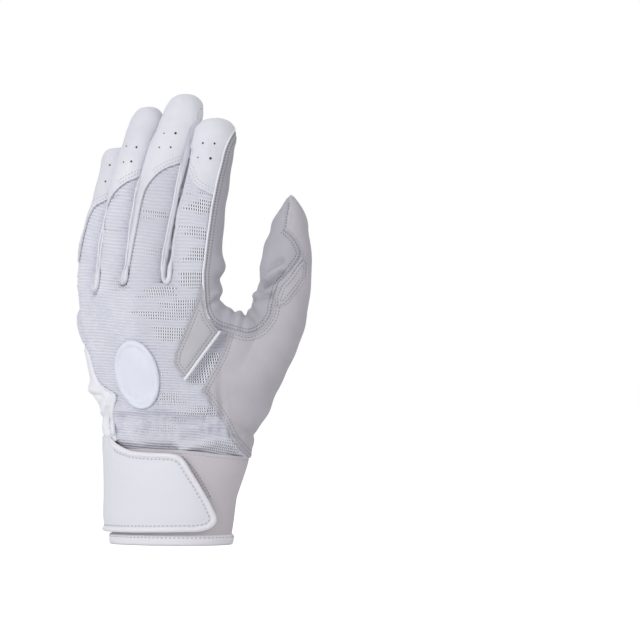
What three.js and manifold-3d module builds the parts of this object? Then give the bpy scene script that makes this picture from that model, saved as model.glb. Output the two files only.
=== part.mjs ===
// Batting glove for the left hand, adult size large, standing on the rim of its cuff.
// Millimetres, +Z towards the fingertips, +X towards the thumb, -Y towards the viewer.
// The glove is drawn as the viewer sees its back, and the finished group is turned
// square to the hand at the end.
import * as THREE from 'three';
import { mergeVertices } from 'three/addons/utils/BufferGeometryUtils.js';
import Module from 'manifold-3d';

const wasm = await Module();
wasm.setup();

// Driving dimensions of the glove
const gloveLength = 240;
const palmWidth = 84;
const palmDepth = 30;
const indexWidth = 28;
const middleWidth = 24;
const ringWidth = 21;
const littleWidth = 18;
const thumbWidth = 28;
const cuffWidth = 68;
const cuffDepth = 47;
const cuffHeight = 50;

// Materials and clearances
const leatherThickness = 1.2;
const bandThickness = 2;
const trimThickness = 0.8;
const patchThickness = 0.7;
const tabThickness = 1.5;
const bindingThickness = 2.1;
const badgeThickness = 1.8;
const elasticThickness = 0.8;
const seamGap = 0.3;
const seatGap = 0.3;
const fingerGap = 0.5;

// Widths of the narrow pieces
const pipingWidth = 1.4;
const bindingWidth = 2.6;
const hemHeight = 4.6;
const hemWrap = 0.7;
const elasticWidth = 7;
const elasticHeight = 66;
const slitBindingWidth = 2.4;
const forkBridgeWidth = 10;
const wedgeReachShare = 1.04;
const wedgeStart = 0.6;
const mitreShare = 0.5;
const badgeWidth = 23;
const badgeHeight = 37;
const badgeRim = 2.2;
const badgeRimHeight = 0.8;

// The turn of the hand away from the viewer, and how far round the band the wrist closes
const handTurn = THREE.MathUtils.degToRad(20);
const badgeTilt = THREE.MathUtils.degToRad(-14);
const slitStart = THREE.MathUtils.degToRad(178);
const slitEnd = THREE.MathUtils.degToRad(196);
const hingeAngle = THREE.MathUtils.degToRad(214);
const rootStart = THREE.MathUtils.degToRad(214.7);
const rootAngle = THREE.MathUtils.degToRad(236);

// Sectors of a finger that its side walls take up
const thumbSideAngles = [-50, 30].map(THREE.MathUtils.degToRad);
const farSideAngles = [155, 235].map(THREE.MathUtils.degToRad);

// Counts of the facets
const palmSides = 32;
const digitSides = 16;
const thumbSides = 18;
const cuffSides = 30;
const seamColumns = 20;
const wedgeSteps = 4;
const sectorSteps = 8;
const badgeSides = 28;

// How far the cutters run past the glove
const overrun = 60;
const farReach = 170;
const tipOverrun = 6;

// Digits: each row is x and height as shares of the palm's width and the glove's length,
// depth as a share of the palm's depth, and half width as a share of the digit's own width
const digits = {
  index: {
    width: indexWidth,
    tipShare: 0.95,
    turn: handTurn,
    rowShares: [
      [0.150, 0.467, -0.283, 0.443], [0.167, 0.571, -0.300, 0.507], [0.186, 0.654, -0.317, 0.486],
      [0.214, 0.742, -0.317, 0.450], [0.254, 0.808, -0.300, 0.418], [0.281, 0.863, -0.283, 0.411],
      [0.307, 0.912, -0.250, 0.393],
    ],
  },
  middle: {
    width: middleWidth,
    tipShare: 1,
    turn: handTurn,
    rowShares: [
      [-0.137, 0.467, -0.033, 0.442], [-0.131, 0.583, -0.033, 0.467], [-0.105, 0.671, -0.050, 0.467],
      [-0.071, 0.742, -0.050, 0.475], [-0.031, 0.817, -0.033, 0.483], [0.019, 0.883, 0, 0.475],
      [0.079, 0.950, 0.050, 0.442],
    ],
  },
  ring: {
    width: ringWidth,
    tipShare: 0.9725,
    turn: handTurn,
    rowShares: [
      [-0.351, 0.467, 0.283, 0.448], [-0.340, 0.583, 0.300, 0.457], [-0.317, 0.671, 0.317, 0.457],
      [-0.290, 0.733, 0.317, 0.452], [-0.248, 0.808, 0.333, 0.452], [-0.195, 0.875, 0.367, 0.452],
      [-0.145, 0.929, 0.400, 0.438],
    ],
  },
  little: {
    width: littleWidth,
    tipShare: 0.8833,
    turn: 0,
    rowShares: [
      [-0.440, 0.435, 0.350, 0.340], [-0.480, 0.510, 0.600, 0.440], [-0.487, 0.583, 0.750, 0.483],
      [-0.467, 0.667, 0.773, 0.483],
      [-0.429, 0.725, 0.787, 0.478], [-0.383, 0.775, 0.800, 0.472], [-0.355, 0.817, 0.817, 0.461],
      [-0.338, 0.850, 0.833, 0.444],
    ],
  },
};
const digitDepthShare = 0.86;
const digitDomePower = 0.8;
const thumbDomePower = 2;
const thumb = {
  width: thumbWidth,
  tipShare: 0.775,
  rowShares: [
    [0.290, 0.233, 0, 0.690], [0.360, 0.287, -0.080, 0.820], [0.425, 0.333, -0.150, 0.820],
    [0.500, 0.383, -0.220, 0.790], [0.585, 0.433, -0.270, 0.715], [0.665, 0.483, -0.300, 0.610],
    [0.716, 0.533, -0.310, 0.529], [0.750, 0.592, -0.310, 0.486], [0.761, 0.650, -0.300, 0.443],
    [0.764, 0.696, -0.290, 0.379],
  ],
};
const thumbDepthShare = 0.78;

const domeLeanShare = 0.5;

// Rounded end of a digit, above its last row
const domeAngles = [0.6, 1.08, 1.42];

// Palm: height share of the glove's length, x and half width shares of the palm's width,
// depth and half depth shares of the palm's depth
const palmRowShares = [
  [0.172, 0.058, 0.392, 0.067, 0.640], [0.214, 0.084, 0.434, 0.067, 0.665],
  [0.232, 0.074, 0.484, 0.067, 0.740], [0.258, 0.056, 0.481, 0.067, 0.690],
  [0.287, 0.052, 0.474, 0.050, 0.630], [0.333, 0.004, 0.500, 0.033, 0.570],
  [0.383, -0.026, 0.495, 0, 0.525], [0.433, -0.062, 0.490, -0.033, 0.480],
  [0.483, -0.098, 0.492, -0.053, 0.435], [0.529, -0.116, 0.488, -0.053, 0.385],
  [0.558, -0.118, 0.474, -0.053, 0.330], [0.573, -0.118, 0.440, -0.053, 0.260],
  [0.580, -0.118, 0.370, -0.053, 0.180],
];
const archStartShare = -0.2;
const archRiseShare = 3.2;
const archFootShare = 0.25;
const archTopShare = 0.5;
const shoulderStartShare = 0.52;
const shoulderDropShare = 0.035;
const palmPower = 2.3;

// Web of leather in the crotch of the thumb, with the same columns as the palm
const webRowShares = [
  [0.260, 0.380, 0.150, -0.100, 0.350], [0.333, 0.420, 0.210, -0.220, 0.500],
  [0.416, 0.440, 0.210, -0.330, 0.420], [0.466, 0.455, 0.185, -0.350, 0.350],
  [0.493, 0.462, 0.150, -0.350, 0.280], [0.506, 0.466, 0.095, -0.350, 0.180],
];

// Cuff: height share of the cuff's height, x and half width shares of the cuff's width,
// depth and half depth shares of the cuff's depth
const cuffRowShares = [
  [0, 0.015, 0.489, 0.043, 0.500], [0.5, 0.045, 0.517, 0.043, 0.506],
  [0.96, 0.092, 0.578, 0.043, 0.515], [1.2, 0.098, 0.595, 0.043, 0.520],
];

// Seams and outlines as the viewer sees them, as shares of the palm's width and the glove's length
const indexSeamShares = [
  [0.470, 0.940], [0.418, 0.916], [0.368, 0.881], [0.334, 0.834], [0.305, 0.790],
  [0.273, 0.727], [0.237, 0.627], [0.229, 0.583], [0.237, 0.534], [0.261, 0.505],
  [0.314, 0.485], [0.407, 0.474], [0.517, 0.466], [0.598, 0.477], [0.661, 0.505],
  [0.683, 0.538], [0.711, 0.573], [0.760, 0.593], [0.849, 0.639], [0.833, 0.668],
  [0.793, 0.687], [0.750, 0.703], [0.768, 0.755], [0.779, 0.788],
];
const gussetTopShares = [[0.779, 0.860], [0.560, 0.960]];
const thumbSeamStart = 11;
const thumbFarShares = [[0.779, 0.9], [1.4, 0.9], [1.4, 0.1]];
const thumbEdgeShares = [
  [0.547, 0.160], [0.491, 0.209], [0.420, 0.234], [0.384, 0.259], [0.322, 0.296],
  [0.220, 0.342], [0.313, 0.402], [0.361, 0.438], [0.388, 0.476],
];
const strapShares = [
  [0.212, 0.570], [0.182, 0.532], [0.121, 0.479], [0.060, 0.426], [0.054, 0.402],
  [0.113, 0.367], [0.300, 0.472], [0.243, 0.496], [0.214, 0.530],
];
const strapEdgeShares = [[0.113, 0.362], [0.312, 0.474]];
const thumbPatchShares = [
  [0.868, 0.634], [0.887, 0.594], [0.809, 0.556], [0.752, 0.531], [0.705, 0.527],
  [0.730, 0.562], [0.779, 0.584],
];
const slitShares = [
  [-0.521, 0.427], [-0.481, 0.387], [-0.439, 0.357], [-0.383, 0.342], [-0.325, 0.329],
  [-0.350, 0.312], [-0.346, 0.243], [-0.318, 0.160],
];
const slitFarShares = [[-1, 0.16], [-1, 0.427]];
const slitBindingPoints = [1, -3];
const thumbFrontShares = [
  [0.400, 0.560], [0.430, 0.470], [0.560, 0.425], [0.700, 0.400], [0.880, 0.395],
];
const thumbFrontFarShares = [[1.4, 0.395], [1.4, 0.9], [0.5, 0.9], [0.5, 0.59]];
const heelPatchShares = [
  [-0.340, 0.262], [-0.060, 0.255], [0.010, 0.290], [-0.030, 0.345], [-0.180, 0.385], [-0.330, 0.372],
  [-0.385, 0.315],
];
const capShares = {
  index: [[0.090, 0.842], [0.175, 0.801], [0.248, 0.781], [0.330, 0.770]],
  middle: [
    [0.120, 0.855], [-0.042, 0.828], [-0.126, 0.797], [-0.165, 0.760], [-0.203, 0.692], [-0.262, 0.596],
  ],
  ring: [
    [-0.150, 0.823], [-0.275, 0.803], [-0.346, 0.780], [-0.392, 0.748], [-0.411, 0.714], [-0.441, 0.630],
  ],
  little: [
    [-0.345, 0.777], [-0.490, 0.746], [-0.528, 0.719], [-0.551, 0.679], [-0.580, 0.615],
  ],
};
const capTopShare = 1.1;
const capSideShares = [1, -0.1];
const indexCapSideShares = [-0.4, 1];
const badgePlaceShares = [-0.188, 0.378];
const elasticShares = [-0.33, 0.36];

// Tab and cuff outlines, as shares of the cuff's width and height
const cuffCentreShares = [0.03, 0.043];
const cuffTopShares = [[-0.9, 1.03], [-0.38, 1.025], [0.11, 1.018], [0.617, 0.936], [0.95, 0.88]];
const cuffLowShares = [[0.95, -1], [-0.9, -1]];
const tabShares = [
  [-0.90, 1.150], [-0.424, 1.150], [-0.374, 1.080], [-0.264, 1.008], [-0.133, 0.989], [0.100, 0.965],
  [0.199, 0.792], [0.298, 0.552], [0.352, 0.374], [0.369, 0.298], [0.366, 0.235],
  [0.320, 0.163], [0.236, 0.125], [-0.90, 0.125],
];
const rootShares = [[-0.9, 0.93], [0.5, 0.93], [0.5, 0.125], [-0.9, 0.125]];
const hookShares = [[-0.10, 0.84], [0.07, 0.84], [0.23, 0.50], [0.27, 0.25], [-0.10, 0.25]];
const loopShares = [[-0.40, 0.86], [0.08, 0.86], [0.24, 0.52], [0.28, 0.22], [-0.40, 0.22]];

// Vertical reach of the cuts between the fingers
const knuckleShare = 0.583;
const forkDepthShare = 0.03;
const forkShares = { indexMiddle: 0.578, middleRing: 0.578, ringLittle: 0.556 };

const knuckleHeight = knuckleShare * gloveLength;

// Shape of the surface that parts the back from the palm
const seamLevelShares = [0, 0.15, 0.25, 0.33, 0.42, 0.47, 0.53, knuckleShare, 0.68, 0.85];
const seamReachShares = [-0.8, 1.15];
const seamSplitShares = [-0.44, 0.03];
const seamDepthShare = -0.03;
const spineShare = -0.1;
const indexSideShares = [0.12, 0.31];
const seamShiftShare = 0.2;
const nearKnuckleShare = 0.47;
const thumbSideShares = [0.36, 0.52];
const thumbSeamShare = 0.1;
const thumbZoneShare = 0.45;

// A closed solid over a stack of rings, each counterclockwise as seen from above
function loft(rings) {
  const sides = rings[0].length;
  const positions = [];
  const faces = [];
  for (const ring of rings) {
    for (const point of ring) positions.push(point.x, point.y, point.z);
  }
  for (let level = 0; level < rings.length - 1; level += 1) {
    for (let side = 0; side < sides; side += 1) {
      const next = (side + 1) % sides;
      const low = level * sides;
      const high = low + sides;
      faces.push(low + side, low + next, high + next, low + side, high + next, high + side);
    }
  }
  const lastRing = (rings.length - 1) * sides;
  for (const [ring, first] of [[rings[0], 0], [rings[rings.length - 1], lastRing]]) {
    const centre = new THREE.Vector3();
    for (const point of ring) centre.addScaledVector(point, 1 / sides);
    const hub = positions.length / 3;
    positions.push(centre.x, centre.y, centre.z);
    for (let side = 0; side < sides; side += 1) {
      const next = (side + 1) % sides;
      if (first === 0) faces.push(hub, next, side);
      else faces.push(hub, first + side, first + next);
    }
  }
  const geometry = new THREE.BufferGeometry();
  geometry.setAttribute('position', new THREE.Float32BufferAttribute(positions, 3));
  geometry.setIndex(faces);
  return solidOf(geometry);
}

function solidOf(source) {
  const geometry = source.clone();
  geometry.deleteAttribute('normal');
  geometry.deleteAttribute('uv');
  const merged = mergeVertices(geometry);
  return new wasm.Manifold(new wasm.Mesh({
    numProp: 3,
    vertProperties: new Float32Array(merged.attributes.position.array),
    triVerts: new Uint32Array(merged.index.array),
  }));
}

function geometryOf(solid) {
  const mesh = solid.getMesh();
  const positions = [];
  for (let vertex = 0; vertex < mesh.numVert; vertex += 1) {
    const start = vertex * mesh.numProp;
    positions.push(...mesh.vertProperties.slice(start, start + 3));
  }
  const geometry = new THREE.BufferGeometry();
  geometry.setAttribute('position', new THREE.Float32BufferAttribute(positions, 3));
  geometry.setIndex(Array.from(mesh.triVerts));
  return geometry;
}

function joined(solids) {
  return solids.reduce((sum, solid) => sum.add(solid));
}

function without(solid, cutters) {
  return cutters.reduce((rest, cutter) => rest.subtract(cutter), solid);
}

// One oval ring; bend gives each point its own shift in depth and height
function oval({ x, y, z, a, b, turn, sides, power = 2, bend }) {
  const ring = [];
  for (let side = 0; side < sides; side += 1) {
    const angle = (side / sides) * 2 * Math.PI;
    const across = a * Math.sign(Math.cos(angle)) * Math.abs(Math.cos(angle)) ** (2 / power);
    const through = b * Math.sign(Math.sin(angle)) * Math.abs(Math.sin(angle)) ** (2 / power);
    const point = new THREE.Vector3(
      x + across * Math.cos(turn) + through * Math.sin(turn),
      y - across * Math.sin(turn) + through * Math.cos(turn),
      z,
    );
    if (bend) bend(point, across / a);
    ring.push(point);
  }
  return ring;
}

function digitRows(digit, offset) {
  return digit.rowShares.map(([x, z, y, a]) => ({
    x: x * palmWidth,
    y: y * palmDepth,
    z: z * gloveLength,
    a: a * digit.width + offset,
  }));
}

function digitSolid(digit, offset, depthShare, sides, domePower) {
  const rows = digitRows(digit, offset);
  const last = rows[rows.length - 1];
  const before = rows[rows.length - 2];
  const rise = digit.tipShare * gloveLength + offset - last.z;
  const lean = (last.x - before.x) / (last.z - before.z);
  for (const angle of domeAngles) {
    const climb = rise * Math.sin(angle);
    rows.push({
      x: last.x + climb * lean * domeLeanShare,
      y: last.y,
      z: last.z + climb,
      a: last.a * Math.cos(angle) ** domePower,
    });
  }
  return loft(rows.map((row) => oval({
    ...row,
    b: (row.a - offset) * depthShare + offset,
    turn: handTurn,
    sides,
  })));
}

function palmRows(rowShares, offset) {
  return rowShares.map(([z, x, a, y, b]) => ({
    z: z * gloveLength,
    x: x * palmWidth,
    a: a * palmWidth + offset,
    y: y * palmDepth,
    b: b * palmDepth + offset,
  }));
}

// The knuckle line curls away on the side of the little finger
function curl(x, z) {
  const archHeight = THREE.MathUtils.smoothstep(z / gloveLength, archFootShare, archTopShare);
  const past = Math.max(0, archStartShare - x / palmWidth);
  return archRiseShare * past * past * archHeight * palmDepth;
}

function palmSolid(offset, open) {
  const rows = palmRows(palmRowShares, offset);
  rows[rows.length - 1].z += offset;
  if (open) rows.unshift({ ...rows[0], z: rows[0].z - overrun });
  const shoulderStart = shoulderStartShare * gloveLength;
  return loft(rows.map((row) => oval({
    ...row,
    turn: handTurn,
    sides: palmSides,
    power: palmPower,
    bend: (point, across) => {
      point.y += curl(point.x, row.z);
      const drop = Math.max(0, -across) ** 2 * shoulderDropShare * gloveLength;
      if (row.z > shoulderStart) point.z -= drop;
    },
  })));
}

function webSolid(offset) {
  const rows = palmRows(webRowShares, offset);
  rows[rows.length - 1].z += offset;
  return loft(rows.map((row) => oval({ ...row, turn: handTurn, sides: digitSides })));
}

function fingerSolid(name, offset) {
  return digitSolid(digits[name], offset, digitDepthShare, digitSides, digitDomePower);
}

// The whole form of the glove, grown or shrunk by an offset
function form(offset, open = false) {
  const fingers = Object.keys(digits).map((name) => fingerSolid(name, offset));
  return joined([
    palmSolid(offset, open),
    webSolid(offset),
    digitSolid(thumb, offset, thumbDepthShare, thumbSides, thumbDomePower),
    ...fingers,
  ]);
}

function cuffSolid(offset, overlap = 0) {
  const rows = cuffRowShares.map(([z, x, a, y, b]) => ({
    z: z * cuffHeight,
    x: x * cuffWidth,
    a: a * cuffWidth + offset,
    y: y * cuffDepth,
    b: b * cuffDepth + offset,
  }));
  if (overlap > 0) {
    rows.unshift({ ...rows[0], z: -overlap });
    rows.push({ ...rows[rows.length - 1], z: rows[rows.length - 1].z + overlap });
  }
  return loft(rows.map((row) => oval({ ...row, turn: handTurn, sides: cuffSides })));
}

// Outlines in the viewer's plane, as points of (x, z)
function placed(shares, width = palmWidth, height = gloveLength) {
  return shares.map(([x, z]) => new THREE.Vector2(x * width, z * height));
}

function smoothed(points, steps = 2) {
  return new THREE.SplineCurve(points).getPoints((points.length - 1) * steps);
}

function sideNormals(points, closed) {
  return points.map((point, index) => {
    const last = points.length - 1;
    const before = points[closed ? (index + last) % points.length : Math.max(0, index - 1)];
    const after = points[closed ? (index + 1) % points.length : Math.min(last, index + 1)];
    const arriving = point.clone().sub(before).normalize();
    const leaving = after.clone().sub(point).normalize();
    const along = leaving.clone().add(arriving).normalize();
    const mitre = 1 / Math.max(mitreShare, along.dot(leaving));
    return new THREE.Vector2(along.y, -along.x).multiplyScalar(mitre);
  });
}

// An outline moved outwards by a distance, or inwards by a negative one
function grown(points, distance) {
  const outward = THREE.ShapeUtils.isClockWise(points) ? -distance : distance;
  const normals = sideNormals(points, true);
  return points.map((point, index) => point.clone().addScaledVector(normals[index], outward));
}

// A ribbon of a given width along a line
function ribbon(points, width) {
  const normals = sideNormals(points, false);
  const right = points.map((point, index) => point.clone().addScaledVector(normals[index], width / 2));
  const left = points.map((point, index) => point.clone().addScaledVector(normals[index], -width / 2));
  return [...right, ...left.reverse()];
}

// A cutter with this outline, running through the glove along the line of sight
function prism(points) {
  const geometry = new THREE.ExtrudeGeometry(new THREE.Shape(points), {
    depth: farReach,
    bevelEnabled: false,
  });
  geometry.translate(0, 0, -farReach / 2);
  geometry.rotateX(Math.PI / 2);
  return solidOf(geometry);
}

// A block between two heights, and between two places across the glove
function slab(lowZ, highZ, lowX = -farReach, highX = farReach) {
  const geometry = new THREE.BoxGeometry(highX - lowX, 2 * farReach, highZ - lowZ);
  geometry.translate((lowX + highX) / 2, 0, (lowZ + highZ) / 2);
  return solidOf(geometry);
}

// The seam surface between back and palm, as a depth for each place in the viewer's plane
const thumbLine = digitRows(thumb, 0);

function thumbDepthAt(z) {
  const above = thumbLine.findIndex((row) => row.z > z);
  if (above === 0) return thumbLine[0].y;
  if (above < 0) return thumbLine[thumbLine.length - 1].y;
  const low = thumbLine[above - 1];
  const high = thumbLine[above];
  return THREE.MathUtils.mapLinear(z, low.z, high.z, low.y, high.y);
}

// Near the knuckles the surface meets the middle planes of the index and little fingers
function knuckleSeam(x, palmSeam) {
  const share = x / palmWidth;
  if (share > seamSplitShares[1]) return rowAt(digitRows(digits.index, 0), knuckleHeight).y;
  if (share < seamSplitShares[0]) return rowAt(digitRows(digits.little, 0), knuckleHeight).y;
  return palmSeam;
}

function seamDepth(x, z) {
  const share = x / palmWidth;
  const palmLine = seamDepthShare * palmDepth
    - (share - spineShare) * palmWidth * Math.tan(handTurn) + curl(x, z);
  const indexSide = THREE.MathUtils.smoothstep(share, ...indexSideShares);
  const sideSeam = palmLine + indexSide * seamShiftShare * palmDepth;
  const nearKnuckles = THREE.MathUtils.smoothstep(z / gloveLength, nearKnuckleShare, knuckleShare);
  const palmSeam = THREE.MathUtils.lerp(sideSeam, knuckleSeam(x, sideSeam), nearKnuckles);
  const thumbSide = THREE.MathUtils.smoothstep(share, ...thumbSideShares);
  const thumbSeam = thumbDepthAt(z) + thumbSeamShare * palmDepth;
  return THREE.MathUtils.lerp(palmSeam, thumbSeam, thumbSide);
}

// Everything on the back's side of the seam surface, with the surface shifted in depth
function backBlock(shift) {
  const [lowX, highX] = seamReachShares.map((share) => share * palmWidth);
  const rings = seamLevelShares.map((share) => {
    const z = share * gloveLength;
    const ring = [new THREE.Vector3(lowX, -farReach, z), new THREE.Vector3(highX, -farReach, z)];
    for (let column = seamColumns; column >= 0; column -= 1) {
      const x = THREE.MathUtils.lerp(lowX, highX, column / seamColumns);
      ring.push(new THREE.Vector3(x, seamDepth(x, z) + shift, z));
    }
    return ring;
  });
  return loft(rings);
}

// One side of the seam surface: the back's for a negative side, else the palm's
function seamBlock(side) {
  if (side < 0) return backBlock(-seamGap);
  return slab(0, gloveLength).subtract(backBlock(seamGap));
}

// A wedge that follows a finger from its fork to past its tip, between two angles
function wedge(digit, from, to, lowZ, gap) {
  const rows = digitRows(digit, 0);
  const top = rows[rows.length - 1];
  const middle = (from + to) / 2;
  const half = (to - from) / 2;
  const pull = gap / Math.sin(Math.min(half, Math.PI / 2));
  const levels = rows.filter((row) => row.z > lowZ);
  const ringAt = (row, z) => {
    const reach = (row.a + leatherThickness) * wedgeReachShare + pull + gap;
    const apex = direction(middle + digit.turn).multiplyScalar(wedgeStart - pull);
    const ring = [new THREE.Vector3(row.x + apex.x, row.y + apex.y, z)];
    for (let step = 0; step <= wedgeSteps; step += 1) {
      const angle = THREE.MathUtils.lerp(from, to, step / wedgeSteps);
      const out = direction(angle + digit.turn).multiplyScalar(reach);
      ring.push(new THREE.Vector3(row.x + apex.x + out.x, row.y + apex.y + out.y, z));
    }
    return ring.reverse();
  };
  const before = rows[rows.length - 2];
  const topZ = digit.tipShare * gloveLength;
  const lean = (top.x - before.x) / (top.z - before.z);
  const tipRow = { ...top, x: top.x + (topZ - top.z) * lean * domeLeanShare };
  return loft([
    ringAt(rowAt(rows, lowZ), lowZ),
    ...levels.map((row) => ringAt(row, row.z)),
    ringAt(tipRow, topZ + tipOverrun),
  ]);
}

function rowAt(rows, z) {
  const above = Math.max(1, rows.findIndex((row) => row.z > z));
  const low = rows[above - 1];
  const high = rows[above];
  const share = (z - low.z) / (high.z - low.z);
  return {
    x: THREE.MathUtils.lerp(low.x, high.x, share),
    y: THREE.MathUtils.lerp(low.y, high.y, share),
    a: THREE.MathUtils.lerp(low.a, high.a, share),
  };
}

// Angles are counted from the thumb's side of the finger towards its back
function direction(angle) {
  return new THREE.Vector2(Math.cos(angle), -Math.sin(angle));
}

// Half of a finger on the side of its back or its palm
function fingerHalf(name, side) {
  const digit = digits[name];
  const rows = digitRows(digit, 0);
  const lowZ = knuckleHeight;
  const ringAt = (row, z) => {
    const edge = row.y + side * seamGap / 2;
    const far = row.y + side * palmDepth;
    const [lowY, highY] = side < 0 ? [far, edge] : [edge, far];
    return [
      new THREE.Vector3(row.x - digit.width, lowY, z),
      new THREE.Vector3(row.x + digit.width, lowY, z),
      new THREE.Vector3(row.x + digit.width, highY, z),
      new THREE.Vector3(row.x - digit.width, highY, z),
    ];
  };
  const top = rows[rows.length - 1];
  const block = loft([
    ringAt(rowAt(rows, lowZ), lowZ),
    ...rows.filter((row) => row.z > lowZ).map((row) => ringAt(row, row.z)),
    ringAt(top, top.z + digit.width),
  ]);
  return block.intersect(fingerSolid(name, fingerGap / 2));
}

// Shells and layers
const inner = form(-leatherThickness, true);
const outer = form(0);
const wall = outer.subtract(inner);
const trimLayer = form(seatGap + trimThickness).subtract(form(seatGap));
const fingerNames = Object.keys(digits);

const thumbZoneX = thumbZoneShare * palmWidth;
const palmZone = joined([
  slab(-overrun, knuckleHeight, -farReach, thumbZoneX),
  slab(-overrun, gloveLength, thumbZoneX - seamGap),
]);
const backZone = joined([
  seamBlock(-1).intersect(palmZone),
  ...fingerNames.map((name) => fingerHalf(name, -1)),
]);
const frontZone = joined([
  seamBlock(1).intersect(palmZone),
  ...fingerNames.map((name) => fingerHalf(name, 1)),
]);

// Side walls between neighbouring fingers
function sideCutter(name, angles, fork, gap) {
  const digit = digits[name];
  const lowZ = (fork - forkDepthShare) * gloveLength - gap;
  const cutter = wedge(digit, angles[0], angles[1], lowZ, gap);
  const low = slab(lowZ, knuckleHeight + gap);
  return cutter.intersect(joined([low, fingerSolid(name, fingerGap / 2)]));
}

// A short bar from one finger's middle to the next, which joins their side walls at the fork
function forkBridge(nearName, farName, fork, gap) {
  const lowZ = (fork - forkDepthShare) * gloveLength - gap;
  const ringAt = (z) => {
    const near = rowAt(digitRows(digits[nearName], 0), z);
    const far = rowAt(digitRows(digits[farName], 0), z);
    const along = new THREE.Vector2(far.x - near.x, far.y - near.y).normalize();
    const across = new THREE.Vector2(-along.y, along.x).multiplyScalar(forkBridgeWidth / 2 + gap);
    return [
      new THREE.Vector3(near.x - across.x, near.y - across.y, z),
      new THREE.Vector3(far.x - across.x, far.y - across.y, z),
      new THREE.Vector3(far.x + across.x, far.y + across.y, z),
      new THREE.Vector3(near.x + across.x, near.y + across.y, z),
    ];
  };
  return loft([ringAt(lowZ), ringAt(knuckleHeight + gap)]);
}

function forkCutter(nearName, farName, fork, gap) {
  return joined([
    forkBridge(nearName, farName, fork, gap),
    sideCutter(nearName, farSideAngles, fork, gap),
    sideCutter(farName, thumbSideAngles, fork, gap),
  ]);
}

const forks = {
  index_middle_fourchette: ['index', 'middle', forkShares.indexMiddle],
  middle_ring_fourchette: ['middle', 'ring', forkShares.middleRing],
  ring_little_fourchette: ['ring', 'little', forkShares.ringLittle],
};
const forkGaps = joined(Object.values(forks).map((fork) => forkCutter(...fork, seamGap)));

// Leather strip along the index finger and round the crotch to the thumb
const indexSeam = placed(indexSeamShares);
const gussetOutline = [...indexSeam, ...placed(gussetTopShares)];
const pipingCut = prism(ribbon(indexSeam, pipingWidth + 2 * seamGap));
const gussetCut = prism(gussetOutline);

// Leather round the back of the thumb
const thumbOutline = placed([
  ...indexSeamShares.slice(thumbSeamStart),
  ...thumbFarShares,
  ...thumbEdgeShares,
]);

// Fingertip overlays, each with a tail down the far side of its finger
function capOutline(name) {
  const line = smoothed(placed(capShares[name]));
  const first = line[0];
  const last = line[line.length - 1];
  const [firstShift, lastShift] = name === 'index' ? indexCapSideShares : capSideShares;
  const firstX = first.x + firstShift * palmWidth;
  const lastX = last.x + lastShift * palmWidth;
  const top = capTopShare * gloveLength;
  return [
    ...line,
    new THREE.Vector2(lastX, last.y),
    new THREE.Vector2(lastX, top),
    new THREE.Vector2(firstX, top),
    new THREE.Vector2(firstX, first.y),
  ];
}

function capZone(name, gap) {
  const zone = slab(knuckleHeight, capTopShare * gloveLength);
  return prism(grown(capOutline(name), gap)).intersect(fingerSolid(name, fingerGap / 2)).intersect(zone);
}

const capGaps = joined(fingerNames.map((name) => capZone(name, seamGap)));

// Slit at the wrist on the little finger's side
const slitEdge = smoothed(placed(slitShares));
const slitOutline = [...slitEdge, ...placed(slitFarShares)];
const slitCut = prism(slitOutline);

const backWall = wall.intersect(backZone);
const gussetGap = joined([pipingCut, gussetCut]);
const thumbFrontOutline = [...smoothed(placed(thumbFrontShares)), ...placed(thumbFrontFarShares)];

const pieces = {};
pieces.back_knit = without(backWall, [
  forkGaps, capGaps, gussetGap, prism(grown(thumbOutline, seamGap)), prism(grown(slitOutline, seamGap)),
]);
pieces.index_gusset = without(backWall.intersect(gussetCut), [forkGaps, pipingCut, capGaps.subtract(gussetCut)]);
pieces.thumb_wrap = without(backWall.intersect(prism(thumbOutline)), [gussetGap]);
for (const name of fingerNames) {
  pieces[`${name}_cap`] = without(backWall.intersect(capZone(name, 0)), [forkGaps, gussetGap]);
}
for (const [name, fork] of Object.entries(forks)) {
  pieces[name] = without(wall.intersect(forkCutter(...fork, 0)), [gussetGap]);
}
const slitLayer = wall.intersect(slitCut);
pieces.palm_leather = without(joined([wall.intersect(frontZone), slitLayer]), [
  forkGaps, prism(grown(thumbFrontOutline, seamGap)),
]);
pieces.thumb_front = wall.intersect(frontZone).intersect(prism(thumbFrontOutline));
pieces.side_piping = form(0).intersect(prism(ribbon(indexSeam, pipingWidth))).intersect(backWall);

// Trim sewn on top of the panels
pieces.back_strap = trimLayer.intersect(prism(placed(strapShares))).intersect(seamBlock(-1));
pieces.strap_piping = trimLayer
  .intersect(prism(ribbon(placed(strapEdgeShares), pipingWidth)))
  .intersect(seamBlock(-1))
  .subtract(prism(grown(placed(strapShares), seamGap)));
pieces.thumb_patch = trimLayer.intersect(prism(placed(thumbPatchShares))).intersect(seamBlock(-1));
pieces.palm_heel_patch = trimLayer.intersect(prism(smoothed(placed(heelPatchShares)))).intersect(seamBlock(1));
const bindingShift = new THREE.Vector2(slitBindingWidth / 2, slitBindingWidth / 2);
const bindingLine = slitEdge.slice(...slitBindingPoints).map((point) => point.clone().add(bindingShift));
pieces.slit_binding = trimLayer
  .intersect(prism(ribbon(bindingLine, slitBindingWidth)))
  .intersect(seamBlock(-1));

// Blank raised badge with a rim
function badgeOutline(inset) {
  const [x, z] = badgePlaceShares;
  const points = [];
  for (let side = 0; side < badgeSides; side += 1) {
    const angle = (side / badgeSides) * 2 * Math.PI;
    const across = (badgeWidth / 2 - inset) * Math.cos(angle);
    const up = (badgeHeight / 2 - inset) * Math.sin(angle);
    points.push(new THREE.Vector2(
      x * palmWidth + across * Math.cos(badgeTilt) + up * Math.sin(badgeTilt),
      z * gloveLength - across * Math.sin(badgeTilt) + up * Math.cos(badgeTilt),
    ));
  }
  return points;
}

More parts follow.
